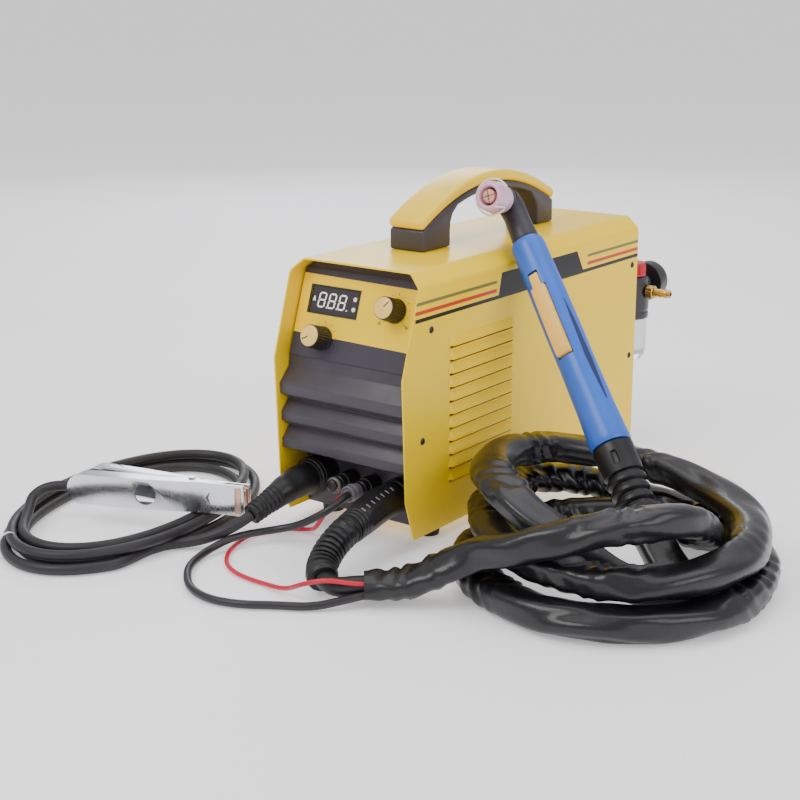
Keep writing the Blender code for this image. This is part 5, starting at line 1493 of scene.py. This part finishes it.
head = swept("torch_bent_neck", neck_line, neck_section, sides=56, sharp=35, up=torch_across)
settle(head, neck_black, "black_moulding", "torch_head")
print("neck", len(head.data.polygons))

# %% Ceramic nozzle
ceramic = bright_plastic("glazed_pink_ceramic", "#E3B2CC", "#DCA8C4", 0.30, coat=0.2, grain_mm=0.5,
    subsurface=0.08)
nose = frame_at(torch @ head_end, nozzle_axis)
cup = mm([(8.6, 23.6), (9.1, 24.7), (10.1, 25), (11.3, 24.9), (12.3, 24.4), (12.9, 23.4), (13.2, 22),
    (14, 15), (14.5, 10), (14.1, 8), (13, 5), (12.5, 3.4), (12.5, 0.3), (8.6, 0.3), (8.6, 23.6)])
nozzle = lathe("torch_ceramic_nozzle", cup, nose, 88, 40)
settle(nozzle, ceramic, "pink_ceramic", "torch_nozzle")
print("nozzle", len(nozzle.data.polygons))

# %% Finish: bare metals
def metal(name, base, lighter, roughness, grain_mm=1.5, stretch=(1, 1, 1)):
    """A bare metal whose gloss drifts along its working marks."""
    return surface(name, {"Metallic": 1.0, "Roughness": roughness}, (base, lighter), (45.0, 2.0),
                   (max(roughness - 0.07, 0.03), roughness + 0.10), (1000 / grain_mm, 4.0), (0.25, 0.00003),
                   vary="grain", stretch=stretch)[0]


copper = metal("machined_copper", "#D9A48A", "#EDCBB8", 0.36)
brass = metal("machined_brass", "#C79B4E", "#DDBB72", 0.26)
chrome = metal("bright_nickel_plated_steel", "#C9CBD0", "#E6E7EA", 0.16, 2.0, (1, 6, 1))
aluminium = metal("extruded_aluminium", "#B4B7BB", "#CDD0D3", 0.30, 1.2, (8, 1, 1))
print("metals ready")

# %% Copper tip
tip_profile = mm([(0, 23.6), (0.9, 23.8), (1.2, 24.4), (5.2, 24.3), (6, 23.8), (6.4, 23), (6.4, 0.3),
    (0, 0.3)])
tip = lathe("torch_copper_tip", tip_profile, nose, 48, 30)
for turn in (20, 110):
    place = nose @ moved((0, 0, 0.0225)) @ turned(turn, "Z")
    carve(tip, block("tip_slot", (-0.0075, -0.0004, -0.0012), (0.0075, 0.0004, 0.004), place))
settle(tip, copper, "copper", "torch_tip")
print("tip", len(tip.data.polygons))

# %% Wire spacer
wire_white = bright_plastic("white_enamelled_wire", "#EDECEA", "#DEDDDA", 0.35)
loop_radius = 0.0145 + 0.0010 + 0.0007
loop = [Vector((loop_radius * cos(radians(40 + 16 * i)), loop_radius * sin(radians(40 + 16 * i)),
                0.0165)) for i in range(19)]
lead_in, lead_out = loop[0] + Vector((0.001, 0.001, 0.0180)), loop[-1] + Vector((0.001, -0.001, 0.0180))
wire_line = smooth_line([nose @ p for p in [lead_in] + loop + [lead_out]], 0.0008)
spacer = swept("torch_wire_spacer", wire_line, lambda w, a, h, t: round_at(0.0009, a),
               sides=12, sharp=60, up=nozzle_axis + Vector((0.01, 0, 0)))
settle(spacer, wire_white, "white_wire", "torch_spacer")
print("head ready")

# %% [markdown]
# The boot below the handle is soft rubber: smooth for its upper half with two long slots, then
# ringed by grooves so that it can bend.

# %% Torch boot
boot_rows = mm([(-0.3, 16.6), (-1.2, 17.6), (-20, 17.7), (-27, 17.2)])
high = -0.0285
for index in range(4):
    radius = 0.0172 - 0.0004 * index
    boot_rows += [(high, radius - 0.0026), (high - 0.0016, radius - 0.0028), (high - 0.0026, radius - 0.0006),
                  (high - 0.0036, radius), (high - 0.0064, radius), (high - 0.0074, radius - 0.0006)]
    high -= 0.0090
boot_rows += [(-0.0645, 0.0140), (-0.0650, 0.0132)]
boot = lathe("torch_rubber_boot", [(0, -0.0003)] + [(r, h) for h, r in boot_rows] + [(0, -0.0650)], torch, 64,
    34)
for turn in (-72, 20, 110, 200):
    place = torch @ turned(turn, "Z")
    cutter = block("boot_slot", (0.0158, -0.0028, -0.0215), (0.03, 0.0028, -0.0090), place)
    carve(boot, soften(cutter, 0.0016, 3))
settle(boot, boot_rubber, "black_rubber", "torch_boot")
print("boot ready")

# %% [markdown]
# The plugs are rubber-sleeved. The earth plug has a collar with two thin rings, then a sleeve that
# tapers and ends in bending rings. The torch plug has a long grip with ridges and small marks,
# then a ringed bend boot. The rings are moved radii along one swept line.


# %% Earth plug
def port_stand(x):
    """Local Z straight out of the connector panel at a port's centre."""
    return frame_at((x, PORT_FACE, PORT_HEIGHT), (0, -1, 0))


def wave(value, share=0.5, soft=0.18):
    """A repeating ridge, 1 on top for a share of each step of 1, 0 in the hollow between ridges."""
    t = value % 1.0
    return between(t, 0, soft) * (1 - between(t, share, share + soft))


def by_rows(value, rows):
    """A value read smoothly between (place, value) rows."""
    for (a, low), (b, high) in zip(rows, rows[1:]):
        if value <= b:
            return low + (high - low) * between(value, a, b)
    return rows[-1][1]


earth_x, torch_x, control_x = -0.0480, 0.0455, (-0.0155, 0.0095)
collar = mm([(0, 25.6), (14, 25.6), (15.2, 25), (15.6, 23.6), (16, 22.8), (17.1, 22.2), (17.2, 20.6),
    (16.4, 20), (16.4, 18.6), (17.2, 18), (17.2, 16.6), (16.6, 16), (17, 15), (17, 10), (16.6, 9.4),
    (5.2, 9.3), (5.2, -1.9), (0, -1.9)])
earth_collar = lathe("earth_collar", collar, port_stand(earth_x), 64, 34)
start = Vector((earth_x, PORT_FACE - 0.0240, PORT_HEIGHT))
sleeve_points = [start + Vector(p) for p in mm(((0, 0, 0), (0, -14, 0), (-0.5, -32, -3), (-1.5, -50, -8),
    (-3.5, -66, -13.5), (-4.3, -72.8, -16)))]


def earth_section(walked, angle, here, total):
    radius = by_rows(walked, [(0, 0.0146), (0.014, 0.0144), (0.030, 0.0130), (0.046, 0.0112), (0.060, 0.0100),
        (total, 0.0093)])
    if walked > 0.0445:
        radius -= 0.0013 * (1 - wave((walked - 0.0445) / 0.0046))
    radius -= 0.0012 * between(walked, total - 0.0015, total)
    return round_at(radius, angle)


earth_sleeve = swept("earth_sleeve", smooth_line(sleeve_points, 0.0006), earth_section, 44, 32)
earth_plug = join_pieces("earth_plug_sleeved", [earth_collar, earth_sleeve])
settle(earth_plug, boot_rubber, "black_rubber", "earth_plug")
print("earth plug", len(earth_plug.data.polygons))

# %% Torch plug grip
torch_collar = lathe("torch_collar", mm([(0, 20.5), (14, 20.5), (15, 19.6), (15, 12), (14.4, 11.2),
    (15, 10.4), (15, 8.8), (14.5, 8.3), (4.2, 8.3), (4.2, -1.9), (0, -1.9)]), port_stand(torch_x), 56, 34)
start = Vector((torch_x, PORT_FACE - 0.0190, PORT_HEIGHT))
grip_points = [start + Vector(p) for p in mm(((0, 0, 0), (1, -20, -1), (4, -45, -3), (8, -73, -6)))]
grip_line = smooth_line(grip_points, 0.0007)


def grip_section(walked, angle, here, total):
    """A grip with two long ridges a side, steps at its far end and small bumps below."""
    radius = by_rows(walked, [(0, 0.0136), (0.004, 0.0140), (0.020, 0.0145), (0.045, 0.0146),
        (total, 0.0136)])
    long = between(walked, 0.014, 0.017) * (1 - between(walked, 0.056, 0.059))
    for place in (0.35, 1.05, 2.4, 3.3, 5.3):
        near = abs((angle - place + pi) % tau - pi)
        radius += 0.0009 * long * (1 - between(near, 0.09, 0.16))
    if walked > 0.060:
        radius -= 0.0007 * (1 - wave((walked - 0.060) / 0.0048, 0.6))
    below = abs((angle - 4.71 + pi) % tau - pi)
    radius += 0.0006 * (1 - between(below, 0.25, 0.5)) * wave(walked / 0.0075, 0.3) * long
    return round_at(radius, angle)


torch_grip = swept("torch_grip", grip_line, grip_section, 72, 34)
torch_plug = join_pieces("torch_plug_grip", [torch_collar, torch_grip])
settle(torch_plug, boot_rubber, "black_rubber", "torch_plug")


def on_line(points, walked, angle, radius):
    """A stand on a tube's skin: local X along it, Z out of it."""
    for a, b in zip(points, points[1:]):
        step = (b - a).length
        if walked <= step:
            break
        walked -= step
    ahead = (b - a).normalized()
    side = ahead.cross(Vector((0, 0, 1))).normalized()
    over = side.cross(ahead)
    out = side * cos(angle) + over * sin(angle)
    return axes_at(ahead, out.cross(ahead), out, a + ahead * walked + out * radius)


# seven small marks along the grip's upper side, lighter grey than the rubber
mark_parts = []
for index in range(7):
    stand = on_line(grip_line, 0.014 + 0.0078 * index, radians(118), 0.0144)
    mark_parts.append(soften(block("mark", (-0.0007, -0.0022, -0.0006), (0.0007, 0.0022, 0.0005), stand),
        0.0003, 2))
grip_marks = join_pieces("torch_grip_marks", mark_parts)
settle(grip_marks, soft_black("light_grey_grip_marks", "#6D6870", "#8A858C", 0.45, 0.6, 0.03), "black_rubber")
print("torch plug", len(torch_plug.data.polygons))

# %% Bend boot
end = grip_points[-1]
ahead = (grip_points[-1] - grip_points[-2]).normalized()
bend_points = [end + ahead * 0.0005, end + ahead * 0.010, end + Vector((0.0018, -0.026, -0.0080)),
               end + Vector((0.0050, -0.040, -0.0150)), end + Vector((0.0110, -0.051, -0.0190)),
               end + Vector((0.0190, -0.0575, -0.0215))]
bend_line = relaxed(smooth_line(bend_points, 0.0006), 8)


def bend_section(walked, angle, here, total):
    """Ten rings, each with two windows pressed into its sides; smooth where the hose leaves."""
    rings = 1 - between(walked, total - 0.012, total - 0.006)
    radius = 0.0131 - 0.0020 * (1 - wave(walked / 0.0056, 0.55, 0.16)) * rings
    window = between(cos(2 * angle), 0.55, 0.9) * wave(walked / 0.0056 + 0.02, 0.45, 0.2) * rings
    radius -= 0.0006 * window + 0.0010 * (1 - between(walked, 0, 0.001))
    radius -= 0.0014 * between(walked, total - 0.003, total)
    return round_at(radius, angle)


bend_boot = swept("torch_bend_boot_ringed", bend_line, bend_section, 56, 32)
settle(bend_boot, boot_rubber, "black_rubber", "torch_bend_boot")
print("bend boot", len(bend_boot.data.polygons))

# %% [markdown]
# The two control plugs are small turned connectors. Each has a knurled locking ring by the panel
# and a plain barrel. The left one ends in a grey ring, a brass bit and a black dome. The right one
# ends in a grey clamp ring that the two thin wires leave.

# %% Control plugs
grey_plastic = soft_black("moulded_grey_plastic", "#5E5A60", "#79747A", 0.42, 0.7, 0.03)
left_stand, right_stand = (port_stand(x) for x in control_x)
knurl = mm([(2, 6.4, 0), (7.8, 6.4, 0), (8.5, 7, 0), (8.5, 7.6, 0.6), (8.5, 15, 0.6), (8.3, 15.8, 0),
    (7.2, 16.2, 0), (7, 19, 0), (7.4, 19.4, 0), (7.4, 22.4, 0), (6.8, 23, 0), (6.6, 26.2, 0), (2, 26.2, 0)])
for name, stand, node in (("control_plug_left_knurled", left_stand, "control_plug_left"),
        ("control_plug_right_knurled", right_stand, "control_plug_right")):
    settle(fluted(name, knurl, 26, stand, 156), black_abs, "black_moulding", node)
settle(lathe("left_grey_ring", mm([(0, 29), (6.6, 29), (7.4, 28.4), (7.4, 26.6), (6.6, 26.2), (0, 26.2)]),
    left_stand, 40), grey_plastic, "black_moulding")
settle(lathe("left_brass_bit", mm([(0, 30.6), (5.8, 30.6), (6, 29), (0, 29)]), left_stand, 40),
       brass, "brass")
settle(lathe("left_black_dome", mm([(0, 33), (2.6, 32.9), (4.6, 32.3), (5.6, 31.4), (5.8, 30.6), (0, 30.6)]),
    left_stand, 40), black_abs, "black_moulding")
tail_ring = mm([(0, 39.5), (5.2, 39.5), (6, 40.4), (6.8, 40.4), (7.4, 39.6), (7.4, 35), (7.8, 34.4),
    (7.8, 32.2), (7, 31.6), (6.6, 26.2), (0, 26.2)])
settle(lathe("right_grey_tail", tail_ring, right_stand, 48), grey_plastic, "black_moulding")
print("control plugs ready")

# %% [markdown]
# The earth clamp is two pressed steel channels, nickel plated, hinged on a pin with a spring. It
# lies on its side. Each jaw is drawn as the side of its bend, given its width, trimmed to a round
# end, rounded, and hollowed. The near jaw has a round window, and an arrow pressed in its face.

# %% Earth clamp
clamp = moved((-0.2260, -0.2930, 0.0345)) @ turned(18.3, "Z") @ Matrix.Rotation(pi, 4, "X")
WALL_STEEL = 0.0016


def rounded_end(name, half, reach):
    """A long shape with a semicircular end, seen from the jaw's back, as deep as reach."""
    arc = [(0.0140 - half * sin(pi * i / 24), half * cos(pi * i / 24)) for i in range(25)]
    return plates(name, [arc + [(0.1700, -half), (0.1700, half)]], -reach, reach, clamp @ flat)


def pressed_jaw(name, half, turn):
    """One jaw, its back towards local +Y; the far one is open at its end and turned about its length."""
    back_line = mm([(0, 23.2), (30, 21.6), (60, 19), (104, 12.8), (126.5, 8), (165.5, 7.5)])
    edge = mm([(165.5, 5.5), (146, 5.5), (128, -3), (100, -1.5), (0, 9.5)])
    jaw = plates(name, [back_line[::-1] + edge[::-1]], -half, half, clamp)
    carve(jaw, rounded_end("end", half, 0.05), "INTERSECT")
    soften(jaw, 0.0024, 4, angle=40, sharp=50)
    inside = [(x, y - WALL_STEEL) for x, y in back_line[1:4]]
    inside = [(-0.01, 0.0232 - WALL_STEEL)] + inside + [(0.1260, 0.0062), (0.1360, -0.03), (-0.01, -0.03)]
    hollow = plates("hollow", [inside], -half + WALL_STEEL, half - WALL_STEEL, clamp)
    if not turn:
        carve(hollow, rounded_end("hollow_end", half - WALL_STEEL, 0.05), "INTERSECT")
    carve(jaw, hollow)
    pin = clamp @ moved((0.1130, 0, 0))
    carve(jaw, lathe("pin_hole", mm([(0, 20), (3.3, 20), (3.3, -20), (0, -20)]), pin, 28))
    if turn:
        about = moved(MACHINE) @ clamp @ Matrix.Rotation(pi, 4, "X") @ clamp.inverted()
        jaw.data.transform(about @ moved(-MACHINE))
    return jaw


print("jaw shapes ready")

# %% The two jaws
near_jaw = pressed_jaw("clamp_near_pressed_jaw", 0.0140, False)
cable_hole = clamp @ frame_at((0.0, 0.0155, 0), (1, 0, 0))
carve(near_jaw, lathe("cable_hole", mm([(0, 4), (5.6, 4), (5.6, -6), (0, -6)]), cable_hole, 32))
window_stand = clamp @ frame_at((0.0745, 0.020, 0), (0, 1, 0))
carve(near_jaw, lathe("clamp_window", mm([(0, 10), (9.8, 10), (9.8, -12), (0, -12)]),
                      window_stand, 48))
crease(near_jaw, 30)
settle(near_jaw, chrome, "bright_steel", "clamp_near_jaw")
far_jaw = pressed_jaw("clamp_far_pressed_jaw", 0.0114, True)
crease(far_jaw, 30)
settle(far_jaw, chrome, "bright_steel", "clamp_far_jaw", body="clamp_far")
# the arrow is a thin plate in darker grey metal: painted shade for the pressed mark
shaded_press_metal = metal("shadowed_press_mark", "#77777C", "#8F9095", 0.40)
arrow = plates("clamp_arrow", mm([[(129, 0), (132.5, 5.2), (133.5, 5.2), (131.8, 0), (133.5, -5.2),
    (132.5, -5.2)]]), -0.0080, -0.0074, clamp @ flat)
settle(arrow, shaded_press_metal, "bright_steel")
strip = plates("clamp_copper_edge", mm([[(157, -12), (163, -12), (163, 12), (157, 12)]]),
               -0.0082, -0.0074, clamp @ flat)
settle(soften(strip, 0.0003, 2), copper, "copper")
print("clamp", len(near_jaw.data.polygons) + len(far_jaw.data.polygons))

# %% [markdown]
# A white nylon tie holds the coil's strands together on its near left. It arches over them from
# floor to floor, and its long tail lies on the floor.

# %% Cable tie
nylon = bright_plastic("white_nylon_tie", "#F2F1F0", "#E6E5E4", 0.38)
tie_angle = radians(238)
outside_edge = on_oval(EARTH_PLACE, EARTH_HALF, EARTH_LEAN, tie_angle, 0.0, 0)
inside_edge = on_oval(EARTH_PLACE, EARTH_HALF, EARTH_LEAN, tie_angle, 0.0240, 0)
inward = (inside_edge - outside_edge).normalized()
arc = mm([(-10, 0.9), (-3.5, 1.2), (-1.2, 4.5), (-0.5, 9), (1.5, 15), (5, 19.2), (10, 20.6), (15, 19.2),
    (19, 14.5), (21.2, 9), (21.6, 1.2)])
tail_out = [(-0.0180, 0.0009), (-0.0140, 0.0009)]
tie_line = [outside_edge + inward * a + Vector((0, 0, z)) for a, z in tail_out + arc]
tie_line[0] += Vector((-0.0120, 0.0020, 0))
tie_along = Vector((-inward.y, inward.x, 0))


def strap(walked, angle, here, total):
    """A flat strap 2.4 mm wide and 0.9 mm thick, in a frame whose upward side is the coil's length."""
    c, s = cos(angle), sin(angle)
    return 0.00045 * copysign(abs(c) ** 0.5, c), 0.0012 * copysign(abs(s) ** 0.5, s)


tie = swept("nylon_tie", smooth_line(tie_line, 0.0012), strap, 20, 60, up=tie_along)
settle(tie, nylon, "white_wire", "cable_tie")
print("tie ready")

# %% [markdown]
# Solids whose shape is already right keep it and only get a real finish: the pan, the feet, the
# sockets, the boards and what else the case holds.


# %% Better finishes on the solids that stay
def reface(look, *names):
    """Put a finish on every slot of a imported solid."""
    for name in names:
        materials = frame["nodes"][name].data.materials
        for index in range(len(materials)):
            materials[index] = look
        if not materials:
            materials.append(look)


board_green = bright_plastic("solder_masked_board", "#1E6B3C", "#175A32", 0.35, coat=0.3)
enamel_copper = bright_plastic("enamelled_copper_winding", "#A2552B", "#8A431F", 0.30, coat=0.4)
signal_red = bright_plastic("moulded_red_abs", "#D3152E", "#BF0F26", 0.30, coat=0.2)
panel_black = soft_black("black_powder_coated_panel", "#1F1E20", "#2A282B", 0.45, 1.6, 0.05)
zinc = metal("zinc_plated_steel", "#A9ABAF", "#C4C6C9", 0.34)
reface(yellow_coat, "base_pan")
reface(foot_rubber, "foot_front_left", "foot_front_right", "foot_rear_left", "foot_rear_right")
reface(black_abs, "earth_socket", "control_socket_left", "control_socket_right", "fan_frame", "fan_rotor",
       "power_switch_body", "mains_gland")
reface(brass, "torch_socket", "gas_valve")
reface(board_green, "power_board", "control_board")
reface(aluminium, "heatsink")
reface(enamel_copper, "transformer")
reface(panel_black, "rear_panel")
reface(signal_red, "power_switch_rocker")
reface(copper, "clamp_near_contact", "clamp_far_contact")
reface(chrome, "clamp_pin", "clamp_spring")
reface(zinc, "regulator_bracket")
print("finishes on", len(frame["nodes"]), "solids considered")

# %% [markdown]
# Behind the case stands the air regulator. It has a red fluted knob on top, a cast black body, a
# clear bowl that catches water, a brass hose barb to the side, and a round gauge facing the rear.

# %% Air regulator
reg_x, reg_y, reg_low, reg_high = 0.0450, REAR + 0.0385, 0.1270, 0.1710
cast_black = soft_black("cast_black_enamelled_body", "#17161A", "#262429", 0.36, 1.1, 0.07, coat=0.25)
body_profile = [(0, reg_high), (0.0150, reg_high), (0.0168, reg_high - 0.0010), (0.0172, reg_high - 0.0070),
                (0.0180, reg_high - 0.0080), (0.0180, reg_low + 0.0100), (0.0174, reg_low + 0.0090),
                (0.0174, reg_low + 0.0070), (0.0180, reg_low + 0.0060), (0.0180, reg_low + 0.0012),
                (0.0172, reg_low), (0, reg_low)]
upright = moved((reg_x, reg_y, 0))
regulator = lathe("regulator_cast_body", body_profile, upright, 72, 34)
carve(regulator, block("flat", (-0.03, -0.03, reg_low - 0.01), (0.03, -0.0140, reg_high + 0.01), upright))
settle(regulator, cast_black, "black_cast_body", "regulator_body")
knob_stand = moved((reg_x, reg_y, reg_high))
red_knob = fluted("regulator_red_knob", mm([(6, 0.4, 0), (13.6, 0.4, 0), (14, 1, 0), (14, 2.6, 0),
    (13.9, 3.2, 1), (13.6, 11.2, 1), (13.2, 13, 0.6), (12.2, 14.2, 0), (10, 14.5, 0)]), 24, knob_stand, 168)
settle(red_knob, signal_red, "red_plastic", "regulator_knob", body="regulator_knob")
print("regulator body", len(regulator.data.polygons))

# %% Clear bowl and hose barb
clear = faint("moulded_clear_polycarbonate", {"Roughness": 0.10, "IOR": 1.58, "Transmission Weight": 0.75},
              "#E9ECF2", "#F6F7FA", 50.0)
bowl_profile = mm([(0, -0.3), (16.5, -0.3), (16.8, -2), (16.5, -4), (16.3, -34), (15, -39.5), (11.8, -44),
    (6, -46), (4.5, -46.6), (4.5, -50.5), (3.8, -51), (0, -51)])
bowl = lathe("regulator_clear_bowl", bowl_profile, moved((reg_x, reg_y, reg_low)), 64, 34)
settle(bowl, clear, "clear_bowl", "regulator_bowl")
barb_profile = mm([(2, 27), (3.4, 27), (3.9, 26.4), (4.8, 21.2), (4, 20.5), (4.8, 15.2), (4, 14.5),
    (4.8, 9.6), (4, 8.8), (6.4, 8.6), (7, 8), (7, 1), (6.4, 0.6), (2, 0.6), (2, 27)])
barb_stand = frame_at((reg_x + 0.018, reg_y, 0.1560), (1, 0, 0))
barb = lathe("brass_hose_barb", barb_profile, barb_stand, 48, 30)
settle(barb, brass, "brass", "hose_barb")
print("bowl and barb ready")

# %% Pressure gauge
gauge_stand = frame_at((reg_x, reg_y + 0.018, 0.1600), (0, 1, 0))
case_profile = mm([(0, 22.2), (17.8, 22.2), (17.8, 23.8), (18.8, 24), (20, 23.4), (20.5, 22.2), (20.5, 9),
    (19.8, 8), (8, 8), (5.8, 6), (5.5, 0.6), (0, 0.6)])
gauge_case = lathe("pressure_gauge_case", case_profile, gauge_stand, 72, 34)
settle(gauge_case, black_abs, "black_moulding", "pressure_gauge")
dial_white = bright_plastic("printed_white_dial", "#F3F2EF", "#E9E8E4", 0.45)
dial = lathe("gauge_dial", mm([(0, 22.6), (17.4, 22.6), (17.4, 22.3), (0, 22.3)]), gauge_stand, 64)
settle(dial, dial_white, "black_moulding")
gauge_marks = []
for index in range(21):
    angle = radians(225 - 13.5 * index)
    long = 0.0026 if index % 5 == 0 else 0.0014
    gauge_marks.append(bar(0.0150 * cos(angle), 0.0150 * sin(angle), long, 0.0004, angle, 0.1))
gauge_marks.append(bar(-0.0030, -0.0030, 0.0150, 0.0009, radians(225), 1.5))
for text, x, y in (("0", -0.0085, -0.0090), ("4", -0.0078, 0.0078), ("6", 0.0078, 0.0078),
        ("10", 0.0066, -0.0090)):
    gauge_marks += seven_segment_shapes(text, x, y, 0.0026)
settle(plates("gauge_marks", gauge_marks, 0.02262, 0.02275, gauge_stand), ink, "black_moulding")
print("regulator ready")

# %% Rear screws
screw = cross_screw(0.0030, 0.0013)
rear_rows = [((x, REAR_FACE, z), (0, 1, 0)) for x in (-0.060, 0.060) for z in (0.020, 0.215)]
rear_rows += [((-0.0200 + x, REAR_FACE, 0.0740 + z), (0, 1, 0)) for x in (-0.0345, 0.0345)
    for z in (-0.0345, 0.0345)]
rear_screws = scattered("rear_screws", screw, rear_rows, zinc_black, seed=11)
settle(rear_screws, None, "bright_steel")
discard(screw)
print("rear screws", len(rear_rows))

# %% [markdown]
# Every free lead is declared with its real length and thickness, and with what its far end is.

# %% Cords declared
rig.cord(earth_lead, exit=earth_exit + MACHINE, length=round(earth_length, 3), diameter=2 * EARTH_RADIUS,
        far_end="object", stiffness="medium", lay="coiled")
for name, (piece, line, radius) in wire_lines.items():
    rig.cord(piece, exit=line[0] + MACHINE, length=round(line_length(line), 3), diameter=2 * radius,
            far_end="object", stiffness="limp", lay="loose")
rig.cord(bare_hose, exit=hose_exit + MACHINE, length=round(line_length(bare_line), 3), diameter=0.016,
        far_end="object", stiffness="medium", lay="loose")
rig.cord(sleeve, exit=sleeve_line[0] + MACHINE, length=round(sleeve_total, 3), diameter=0.032,
        far_end="object", stiffness="medium", lay="coiled",
        path=[p + MACHINE for p in sleeve_line])
print("cords", 3 + len(wire_lines))

# %% [markdown]
# The imported solids' box and the finished model's box are written side by side.

# %% Sizes written, and the end
with open("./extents.json", "w") as sizes:
    json.dump({"cad": packed_box, "visual": [list(corner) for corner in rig.bounds()]}, sizes)
